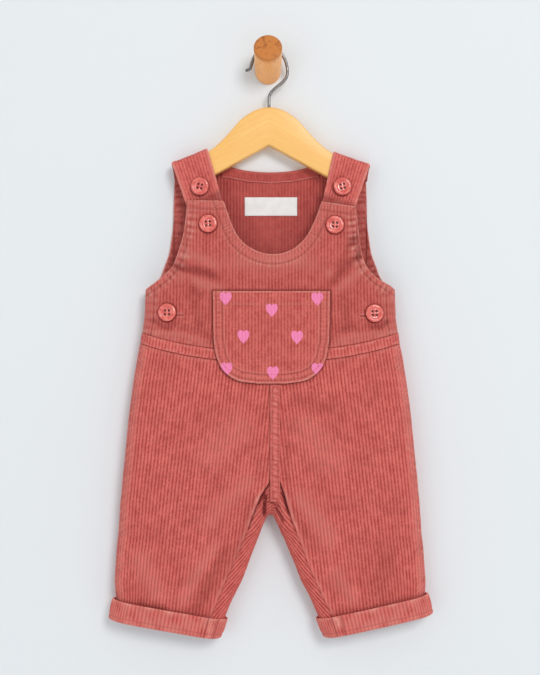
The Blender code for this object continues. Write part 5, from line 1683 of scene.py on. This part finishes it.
BUTTON_SIDES, RIM_FRONT = 64, 50
fine = np.concatenate([np.linspace(0, 3, 37)[1:], np.linspace(3, 16, 53)[1:]])
rim_radius, rim_level = [np.interp(fine, np.arange(18), RIM_SECTION[k]) for k in ("radius", "level")]
rim_radius *= 1.035
for _ in range(2):
    for line in (rim_radius, rim_level):
        line[1:-1] = (line[:-2] + 2 * line[1:-1] + line[2:]) / 4


def button(node, x, height, lift, turn):
    """A four-hole button set square to the cloth."""
    around = np.linspace(0, 2 * math.pi, BUTTON_SIDES, endpoint=False)[:, None]
    u, v = rim_radius * np.cos(around), rim_radius * np.sin(around)
    gap = np.hypot(np.abs(u) - HOLE_OFFSET, np.abs(v) - HOLE_OFFSET)
    front = (np.arange(len(fine)) < RIM_FRONT)[None, :]
    hole = front * held((HOLE_RADIUS + 0.28 - gap) / 0.42)
    hole = hole * hole * (3 - 2 * hole)
    bridge = 0.22 * bell(np.minimum(np.abs(u), np.abs(v)), 0, 0.8) * front * (np.hypot(u, v) < 3.4)
    level = rim_level[None, :] - 1.45 * hole + bridge * (1 - hole)
    w = np.concatenate([level.ravel(), [level[:, 0].mean(), 0.0]])
    u, v = np.append(u.ravel(), [0, 0]), np.append(v.ravel(), [0, 0])
    turned = math.radians(turn)
    u, v = u * math.cos(turned) - v * math.sin(turned), u * math.sin(turned) + v * math.cos(turned)
    spot, normal = lay(np.array(x), np.array(float(height)), -1, lift)
    right = unit(np.array([1.0, 0, 0]) - normal * normal[0])
    up = np.cross(normal, right)
    points = spot + u[:, None] * right + v[:, None] * up + w[:, None] * normal
    points[:, 0] += GARMENT_X
    faces = tube_faces(numbered(BUTTON_SIDES, len(fine)).T)
    return piece(node.replace("button_", "") + "_button", points, faces, resin,
                 pit=np.append(hole.ravel(), [0, 0]))


buttons = {}
for node, x, height, lift, turn in BUTTONS:
    buttons[node] = button(node, x, height, lift, turn)
print(len(buttons), "buttons of", len(buttons[node].data.polygons), "faces")

# %% [markdown]
# ## Wood
#
# The hanger is cut from one pale board under satin varnish, and the peg is turned from
# darker wood and oiled, which leaves it blotchy.  Both use one grain group: long noise
# bands bent by a slower noise, finer pores along the grain, and a mask of darker fibre.

# %% The grain group
grain, (laid, bands, pores, light, dark, pore), grain_out = new_group(
    "wood grain",
    [("V", "Place"), ("F", "Bands"), ("F", "Pores"), ("C", "Light"), ("C", "Dark"), ("C", "Pore")],
    [("C", "Color"), ("F", "Height"), ("F", "Fibre")],
)
slow = noise(laid, 22.0)
band = noise(laid, bands, 5.0, 0.62, 0.7)
fibre = remapped(noise(laid, pores, 3.0, 0.7), 0.56, 0.74, 0.0, 0.55)
share = maths("ADD", maths("MULTIPLY", remapped(band, 0.34, 0.66), 0.75),
              maths("MULTIPLY", remapped(slow, 0.35, 0.68), 0.35), clamp=True)
join(mixed(fibre, mixed(share, light, dark), pore), grain_out, "Color")
join(maths("SUBTRACT", band, fibre), grain_out, "Height")
join(fibre, grain_out, "Fibre")


def wooden(name, stretch, values, **constants):
    """A wood finish on the piece's own UV map, whose first length runs along the grain."""
    finish, tree, shader = new_finish(name, **constants)
    along_grain = filled("ShaderNodeMapping", {"Vector": cloth_place(tree), "Scale": stretch}).outputs[0]
    group = filled("ShaderNodeGroup", {"Place": along_grain, **values}, node_tree=grain)
    rough = constants["Roughness"]
    join(group, shader, "Base Color")
    join(remapped(group.outputs["Fibre"], 0.0, 0.6, rough, rough + 0.14), shader, "Roughness")
    bumped(shader, group.outputs["Height"], 0.14, 0.0002)
    return finish, tree, shader, group.outputs["Color"]


# %% Two woods
beech = wooden(
    "varnished pale wood", (0.10, 1.0, 1.0),
    {"Bands": 210.0, "Pores": 900.0, "Light": (0.930, 0.550, 0.170, 1.0),
     "Dark": (0.910, 0.475, 0.125, 1.0), "Pore": (0.780, 0.350, 0.070, 1.0)},
    Roughness=0.34, Coat_Weight=0.25, Coat_Roughness=0.22, Specular_IOR_Level=0.4,
)[0]
peg_wood, tree, shader, grained = wooden(
    "oiled peg wood", (0.22, 1.0, 1.0),
    {"Bands": 95.0, "Pores": 620.0, "Light": (1.000, 0.545, 0.235, 1.0),
     "Dark": (0.960, 0.420, 0.130, 1.0), "Pore": (0.660, 0.210, 0.055, 1.0)},
    Roughness=0.46, Specular_IOR_Level=0.35,
)
blotch = noise(object_place(tree), 110.0, 3.0, distortion=1.2)
dark_share = remapped(blotch, 0.50, 0.66, 0.0, 0.85)
blotched = mixed(dark_share, (0.580, 0.200, 0.040, 1.0), (0.330, 0.088, 0.015, 1.0))
oiled = mixed(remapped(blotch, 0.55, 0.72, 0.0, 0.5), grained, (0.760, 0.300, 0.090, 1.0))
join(mixed(mark_on(tree, "end"), oiled, blotched), shader, "Base Color")
print("woods:", beech.name, "and", peg_wood.name)

# %% [markdown]
# ## The hanger
#
# Its outline is a crest with two drooping arms and a notch below, cut from a 12 mm board
# with eased edges.  At every place along it the section is a rounded rectangle between
# the lower and the upper line, so the whole is one grid: along it and round its section.

# %% Hanger
HANGER_TOP = [
    (0.0, -37.3), (8.0, -38.3), (14.9, -40.9), (21.5, -45.0), (27.4, -49.6), (33.5, -56.6),
    (39.8, -63.9), (46.0, -70.2), (52.5, -76.0), (59.5, -80.6), (66.0, -83.8), (72.0, -86.4),
    (77.0, -89.4), (80.6, -93.6), (81.8, -99.0),
]
HANGER_LOW = [(0.0, -73.4), (69.5, -111.4), (76.0, -110.4), (80.4, -105.6), (81.8, -99.0)]
HANGER_THICK, HANGER_ROUND = 12.0, 2.4


def eased(values, window):
    """A row of values after a moving average, its ends held."""
    padded = np.pad(values, window, mode="reflect", reflect_type="odd")
    kernel = np.hanning(2 * window + 3)[1:-1]
    return np.convolve(padded, kernel / kernel.sum(), "valid")


HANGER_REACH, HANGER_END = 81.8, -99.0
arm = HANGER_REACH * np.sin(np.linspace(0, math.pi / 2, 90))
upper_right = np.interp(arm, *zip(*HANGER_TOP))
lower_right = np.interp(arm, *zip(*HANGER_LOW))
mirror = np.concatenate([-arm[:0:-1], arm])[:, None]
upper = eased(np.concatenate([upper_right[:0:-1], upper_right]), 2)
lower = np.concatenate([lower_right[:0:-1], lower_right])
half_high = np.maximum((upper - lower) / 2, 0.02)[:, None]
middle_high = ((upper + lower) / 2)[:, None]
corner = np.radians(np.concatenate([np.linspace(90 * k, 90 * k + 90, 7) for k in range(4)]))
quarter = np.repeat(np.arange(4), 7)
corner_y = np.where((quarter == 0) | (quarter == 3), 1, -1)
corner_z = np.where(quarter < 2, 1, -1)
rounding = np.minimum(HANGER_ROUND, half_high)
thin = HANGER_THICK / 2 * np.clip(1 - ((np.abs(mirror) - 70) / 12).clip(0) ** 2 * 0.45, 0.4, 1)
y = HANGER_PLANE + corner_y * (thin - rounding) + rounding * np.cos(corner)
z = middle_high + corner_z * (half_high - rounding) + rounding * np.sin(corner)
points = np.stack([HANGER_X + mirror + 0 * y, y, z], axis=-1).reshape(-1, 3)
tips = [(HANGER_X + side * HANGER_REACH, HANGER_PLANE, HANGER_END) for side in (-1, 1)]
# the board's length along each arm and its height above the arm's middle line, for the grain
length_at = np.abs(mirror) + 0.45 * (z + 80) + 0 * y
grain_uv = np.stack([length_at, (z + 0.56 * np.abs(mirror)) * 0.9 + 0.7 * y], axis=-1).reshape(-1, 2)
hanger = piece("hanger_board", np.concatenate([points, tips]), tube_faces(numbered(*y.shape)), beech,
               uv=np.concatenate([grain_uv, [[HANGER_REACH, 0], [HANGER_REACH, 0]]]))
print(hanger.name, len(hanger.data.polygons), "faces")

# %% [markdown]
# ## The hook
#
# A steel wire bent round over the peg.  A tube is a circle carried along the wire's line:
# its ring lies in the plane across the line, which here turns only in one flat plane.

# %% Wire finish and hook
steel, tree, shader = new_finish("plated wire", Metallic=1.0, Roughness=0.26)
dull = noise(object_place(tree), 420.0, 3.0)
tone = mixed(remapped(dull, 0.35, 0.70), (0.31, 0.30, 0.295, 1.0), (0.19, 0.185, 0.18, 1.0))
join(tone, shader, "Base Color")
join(remapped(dull, 0.3, 0.7, 0.32, 0.48), shader, "Roughness")

HOOK_RADIUS = 1.45
HOOK_ROUTE = np.array(
    [
        (-22.6, -2.4), (-20.2, -1.5), (-18.1, -0.2), (-17.0, 2.4), (-15.7, 6.6), (-13.7, 11.8),
        (-10.2, 16.0), (-5.4, 18.6), (0.0, 19.4), (5.2, 18.5), (9.6, 16.0), (13.1, 12.0),
        (15.7, 6.6), (17.1, 1.0), (17.4, -4.0), (16.2, -8.8), (13.0, -12.9), (9.0, -16.2),
        (5.2, -19.4), (2.2, -22.4), (0.6, -25.2), (0.0, -28.6), (0.0, -37.0), (0.0, -46.5),
    ]
)

line = smooth_route(HOOK_ROUTE, 8)
heading = unit(np.gradient(line, axis=0))
travelled = lengths_along(*line.T)
girth = HOOK_RADIUS * np.sqrt(np.clip(travelled / 1.3, 0.04, 1))
angle = np.linspace(0, 2 * math.pi, 24, endpoint=False)
out = girth[:, None] * np.cos(angle)
x = HANGER_X + line[:, :1] - out * heading[:, 1:]
z = line[:, 1:] + out * heading[:, :1]
y = HANGER_PLANE + girth[:, None] * np.sin(angle)
ends = [(HANGER_X + across, HANGER_PLANE, height) for across, height in line[[0, -1]]]
points = np.concatenate([np.stack([x, y, z], axis=-1).reshape(-1, 3), ends])
hook = piece("wire_hook", points, tube_faces(numbered(*x.shape)), steel)
print(hook.name, round(float(travelled[-1]), 1), "mm of wire")

# %% [markdown]
# ## The peg
#
# A turned peg that stands out of the wall and tilts up.  Its surface is a circle carried
# along the tilted axis; at the wall each line along it stops at the plane y = 0, so its
# flat end lies on the wall.

# %% Peg
PEG_LENGTH, PEG_TILT = 44.2, math.radians(17.0)
PEG_WALL_RADIUS, PEG_END_RADIUS, PEG_BEVEL = 12.4, 13.2, 2.4
axis = np.array([0.0, -math.cos(PEG_TILT), math.sin(PEG_TILT)])
lift = np.array([0.0, math.sin(PEG_TILT), math.cos(PEG_TILT)])
PEG_SIDES = 72
angle = np.linspace(0, 2 * math.pi, PEG_SIDES, endpoint=False)
sideways, upwards = np.cos(angle)[:, None], np.sin(angle)[:, None]
turn = np.linspace(0, math.pi / 2, 7)[1:]
shank = np.linspace(0, PEG_LENGTH - PEG_BEVEL, 16)
bevel = PEG_LENGTH - PEG_BEVEL + PEG_BEVEL * np.sin(turn)
along_axis = np.concatenate([shank, bevel, np.full(12, PEG_LENGTH)])
radius = np.concatenate([
    np.interp(shank, [0, PEG_LENGTH], [PEG_WALL_RADIUS, PEG_END_RADIUS]),
    PEG_END_RADIUS - PEG_BEVEL + PEG_BEVEL * np.cos(turn),
    np.linspace(PEG_END_RADIUS - PEG_BEVEL, 0, 13)[1:-1], [0.15],
])
start = upwards * PEG_WALL_RADIUS * math.tan(PEG_TILT)
reach = along_axis + start * held(1 - along_axis / (PEG_LENGTH - PEG_BEVEL))
reach[:, 0] = radius[0] * upwards[:, 0] * math.tan(PEG_TILT)
aside, above = radius * sideways, radius * upwards
points = reach[..., None] * axis + above[..., None] * lift
points[..., 0] += aside
# the grain runs along the shank, and the end shows it cut across
wrapped = np.abs((angle / math.pi + 0.5) % 2 - 1)[:, None] * 40
on_end = np.arange(len(radius)) >= len(shank) + len(bevel) - 1
peg_uv = np.stack([
    np.where(on_end, 90 + aside * 0.55 + above * 0.35, reach),
    np.where(on_end, 20 - aside * 0.45 + above * 0.8, wrapped),
], axis=-1)
end = np.broadcast_to(held((along_axis - PEG_LENGTH + 7) / 6), reach.shape)
peg = piece("round_peg", np.concatenate([points.reshape(-1, 3), [(0, 0, 0), axis * PEG_LENGTH]]),
            tube_faces(numbered(*reach.shape).T), peg_wood,
            uv=np.concatenate([peg_uv.reshape(-1, 2), [[0, 0], [90, 20]]]),
            end=np.append(end.ravel(), [0, 1]))
print(peg.name, "front of the peg at y", round(float(points[..., 1].min()), 1))

# %% [markdown]
# ## Stitches
#
# A stitch is a short thread that comes out of the cloth, lies on it for 2 mm and goes back
# in.  One stitch is a six-sided tube of four rings and two points; thousands are made at
# once from arrays of middles, headings and normals, and those of one piece are one mesh.


# %% Stitch tubes
thread, tree, shader = new_finish(
    "coral thread", Roughness=0.55, Sheen_Weight=0.2, Specular_IOR_Level=0.35
)
ply = remapped(noise(object_place(tree), 1600.0), 0.35, 0.68)
# The thread is darker than the cord's tops: painted shade for stitches sunk in their troughs.
join(mixed(ply, (0.38, 0.055, 0.048, 1.0), (0.58, 0.130, 0.112, 1.0)), shader, "Base Color")
STITCH_T = np.array([0.10, 0.38, 0.62, 0.90])
STITCH_GIRTH = np.array([0.75, 1.0, 1.0, 0.75])
STITCH_LENGTH, STITCH_RADIUS, STITCH_RISE = 2.1, 0.30, 0.05


def stitch_mesh(name, middles, headings, normals):
    """All stitches of a piece: centre line P + T (t - 1/2) length + N (rise - sink (2t - 1)^4)."""
    headings = unit(headings)
    aside = unit(np.cross(headings, normals))
    angle = np.linspace(0, 2 * math.pi, 6, endpoint=False)[:, None]
    forward = (STITCH_T - 0.5)[:, None] * STITCH_LENGTH
    sunk = STITCH_RISE - 0.55 * (2 * STITCH_T - 1)[:, None] ** 4
    line = middles[:, None] + headings[:, None] * forward + normals[:, None] * sunk
    spin = 0.8 * np.cos(angle) * normals[:, None, None] + np.sin(angle) * aside[:, None, None]
    rings = line[:, :, None] + spin * (STITCH_RADIUS * STITCH_GIRTH)[:, None, None]
    ends = [middles + headings * (s * STITCH_LENGTH / 2) + normals * (STITCH_RISE - 0.75) for s in (-1, 1)]
    count = len(middles)
    points = np.concatenate([rings.reshape(count, 24, 3), np.stack(ends, axis=1)], axis=1).reshape(-1, 3)
    quads, *caps = tube_faces(numbered(4, 6))
    shift = (np.arange(count) * 26)[:, None, None]
    faces = [(quads + shift).reshape(-1, 4), (np.concatenate(caps) + shift).reshape(-1, 3)]
    points[:, 0] += GARMENT_X
    made = piece(name, points, faces, thread)
    print(name, count, "stitches")
    return made


def inset(line, distance, side):
    """A polyline moved sideways by a distance; side is 1 for its left and -1 for its right."""
    heading = unit(np.gradient(line, axis=0))
    return smooth_line(line + distance * side * np.stack([-heading[:, 1], heading[:, 0]], axis=-1))


def stitch_places(lines, surface, clip=None, pitch=3.0):
    """Middles, headings and normals of the stitches along lines across and up the garment."""
    found = []
    for line in lines:
        run = lengths_along(*line.T)
        even = np.arange(pitch / 2, run[-1], pitch)
        spots = [np.stack([np.interp(even + s, run, v) for v in line.T], axis=-1) for s in (-0.8, 0, 0.8)]
        keep = np.ones(len(even), bool) if clip is None else clip(*spots[1].T)
        (back, _), (middle, normal), (front, _) = [surface(*spot[keep].T) for spot in spots]
        found.append((middle, front - back, normal))
    return [np.concatenate(v) for v in zip(*found)]


def front_surface(x, z):
    """Points and normals on the front bib, folds and seams included, at its wales' crests."""
    plain, normals = lay(x, z, -1)
    relief = seams_over(x, z, SEWN_FRONT)[0] + front_relief(x, z)
    return plain + normals * (relief - 0.12)[:, None], normals


def below_edge(x, z):
    return (z < np.interp(x, FRONT_EDGE["across"], FRONT_EDGE["height"]) - 1.5) & (np.abs(x) < 115)


bib_stitches = stitch_mesh("bib_stitches", *stitch_places(
    [
        inset(neck_line, 9.3, -1), inset(arm_left, 5.6, 1), inset(arm_right, 5.6, 1),
        inset(tab_left, 8.0, -1), inset(tab_right, 8.0, -1),
    ],
    front_surface, below_edge,
))


def pocket_surface(x, z):
    plain, normals = lay(x, z, -1, POCKET_RISE)
    return plain + normals * (pocket_relief(x, z)[0] - 0.10)[:, None], normals


pocket_rows = [inset(pocket_line, 3.0, 1), inset(pocket_line, 8.4, 1),
               smooth_line([(-51.5, -223.5), (53.5, -223.5)])]
pocket_stitches = stitch_mesh("pocket_stitches", *stitch_places(
    pocket_rows, pocket_surface, lambda x, z: z < POCKET_TOP - 1.5
))


def fell_surface(x, z):
    """Points on the raised middle seam: between its columns at x, in the row below z."""
    row = np.clip((z - FELL_LOW) / (fell_z[1] - fell_z[0]), 0, len(fell_z) - 1).astype(int)
    column = np.interp(x, fell_x, np.arange(len(fell_x)))
    left = np.floor(column).astype(int)
    right = np.minimum(left + 1, len(fell_x) - 1)
    y = fell_y[left, row] * (1 - column + left) + fell_y[right, row] * (column - left)
    normals = np.stack([0 * x, -np.ones_like(x), 0 * x], axis=-1)
    return np.stack([x, y - FELL_LIFT - FELL_THICK + 0.42, z], axis=-1), normals


fell_lines = [smooth_line([(row, low), (row, -299.5)]) for row, low in zip(FELL_ROWS, (-405, -403))]
fell_stitches = stitch_mesh("middle_seam_stitches", *stitch_places(fell_lines, fell_surface))

# %% Stitches round the cuffs
CUFF_STITCH_LEVEL = 15.25


def cuff_stitches(leg):
    """A row of stitches 15.25 mm down each cuff, on its narrowed part."""
    start, across, down, width, depth, hem = cuff_frame(leg)
    places, offsets = hem_loop(width, depth, 600, 2.42)
    places = tapered(places, width, CUFF_STITCH_LEVEL)
    spot = start + np.outer(places, across) + down * CUFF_STITCH_LEVEL
    loop = np.stack([spot[:, 0], middle_plane(hem) + offsets, spot[:, 1]], axis=-1)
    loop = np.concatenate([loop, loop[:1]])
    run = lengths_along(*loop.T)
    even = np.arange(1.7, run[-1], 3.4)
    middle, front = [
        np.stack([np.interp((even + s) % run[-1], run, v) for v in loop.T], axis=-1) for s in (0, 0.8)
    ]
    normals = unit(np.cross(front - middle, np.array([down[0], 0, down[1]])))
    normals *= np.sign(((middle - loop.mean(axis=0)) * normals).sum(axis=1))[:, None]
    return middle, front - middle, normals


cuff_threads = {leg: stitch_mesh(leg + "_cuff_stitches", *cuff_stitches(leg)) for leg in ("left", "right")}

# %% [markdown]
# ## What stands for what
#
# Each dressed piece rides on the one body, and the solid that it stands for is hidden.  The
# table also lists for each piece of cloth the flat size that a maker would cut, before it was sewn.

# %% Names, bodies and cut sizes
SIDES = ("left", "right")
dressed = [
    # piece, its solid, flat width and length in mm, cut area in square mm, what is sewn on it
    (bib_front, "bib_front", (262, 146), front_area, [bib_stitches]),
    (bib_back, "bib_back", (262, 176), back_area, []),
    (waist_front, "waistband_front", (262, 12), None, []),
    (waist_back, "waistband_back", (262, 12), None, []),
]
for half in ("front", "back"):
    for side in SIDES:
        made, area = legs[side + "_" + half]
        sewn_on = [fell_stitches] if (half, side) == ("front", "right") else []
        dressed.append((made, "trouser_" + half + "_" + side, (156, 252), area, sewn_on))
dressed += [(inlegs[side][0], "inleg_" + side, (52, 146), inlegs[side][1], []) for side in SIDES]
dressed.append((fell, "centre_front_fell", (10, 111), None, []))
dressed += [(cuffs[side], "cuff_" + side, (246, 36), None, [cuff_threads[side]]) for side in SIDES]
dressed += [(straps[side], "strap_" + side, (35, 98), None, []) for side in SIDES]
dressed += [
    (pocket, "pocket", (112, 87), pocket_area, [pocket_stitches]),
    (facing, "neck_facing_back", (94, 10), None, []),
]
for made, solid, flat, area, sewn_on in dressed:
    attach(made, "root")
    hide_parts(solid)
    for extra in sewn_on:
        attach(extra, "root")
    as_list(sewn_on)
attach(label, "root")
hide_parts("label")
hard = [(made, node, "button_coral") for node, made in buttons.items()]
hard += [(hanger, "hanger_wood", "hanger_beech"), (hook, "hanger_hook", "hook_steel"),
         (peg, "wall_peg", "peg_oak")]
for made, node, slot_name in hard:
    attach(made, "root")
    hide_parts(node)
print(len(dressed) + 1, "sheets of cloth")

# %% [markdown]
# ## Wall and floor
#
# Plain pale paint.  The wall is seen only from the front: from behind, its paint is clear,
# and it throws no shade on what stands behind it.

# %% Wall and floor
paint, tree, shader = new_finish("pale paint", Roughness=0.9, Specular_IOR_Level=0.1)
cloud = noise(object_place(tree), 3.0)
join(mixed(cloud, (0.76, 0.785, 0.80, 1.0), (0.775, 0.80, 0.815, 1.0)), shader, "Base Color")
wall_paint = paint.copy()
wall_paint.name = "pale wall paint"
tree = wall_paint.node_tree
either = add(tree, "ShaderNodeMixShader")
join(add(tree, "ShaderNodeNewGeometry").outputs["Backfacing"], either, 0)
join(tree.nodes["Principled BSDF"], either, 1)
join(add(tree, "ShaderNodeBsdfTransparent"), either, 2)
join(either, tree.nodes["Material Output"], "Surface")
SPAN, FLOOR_LEVEL, WALL_PLACE = 2600, -1100, 0.4
square = [np.array([[0, 1, 2, 3]])]
corners = [(-SPAN, WALL_PLACE, FLOOR_LEVEL), (SPAN, WALL_PLACE, FLOOR_LEVEL),
           (SPAN, WALL_PLACE, 1900), (-SPAN, WALL_PLACE, 1900)]
wall = piece("wall", corners, square, wall_paint, smooth=False, closed=False)
wall.visible_shadow = False
corners = [(-SPAN, -3500, FLOOR_LEVEL), (SPAN, -3500, FLOOR_LEVEL),
           (SPAN, 2500, FLOOR_LEVEL), (-SPAN, 2500, FLOOR_LEVEL)]
floor = piece("floor", corners, square, paint, smooth=False, closed=False)
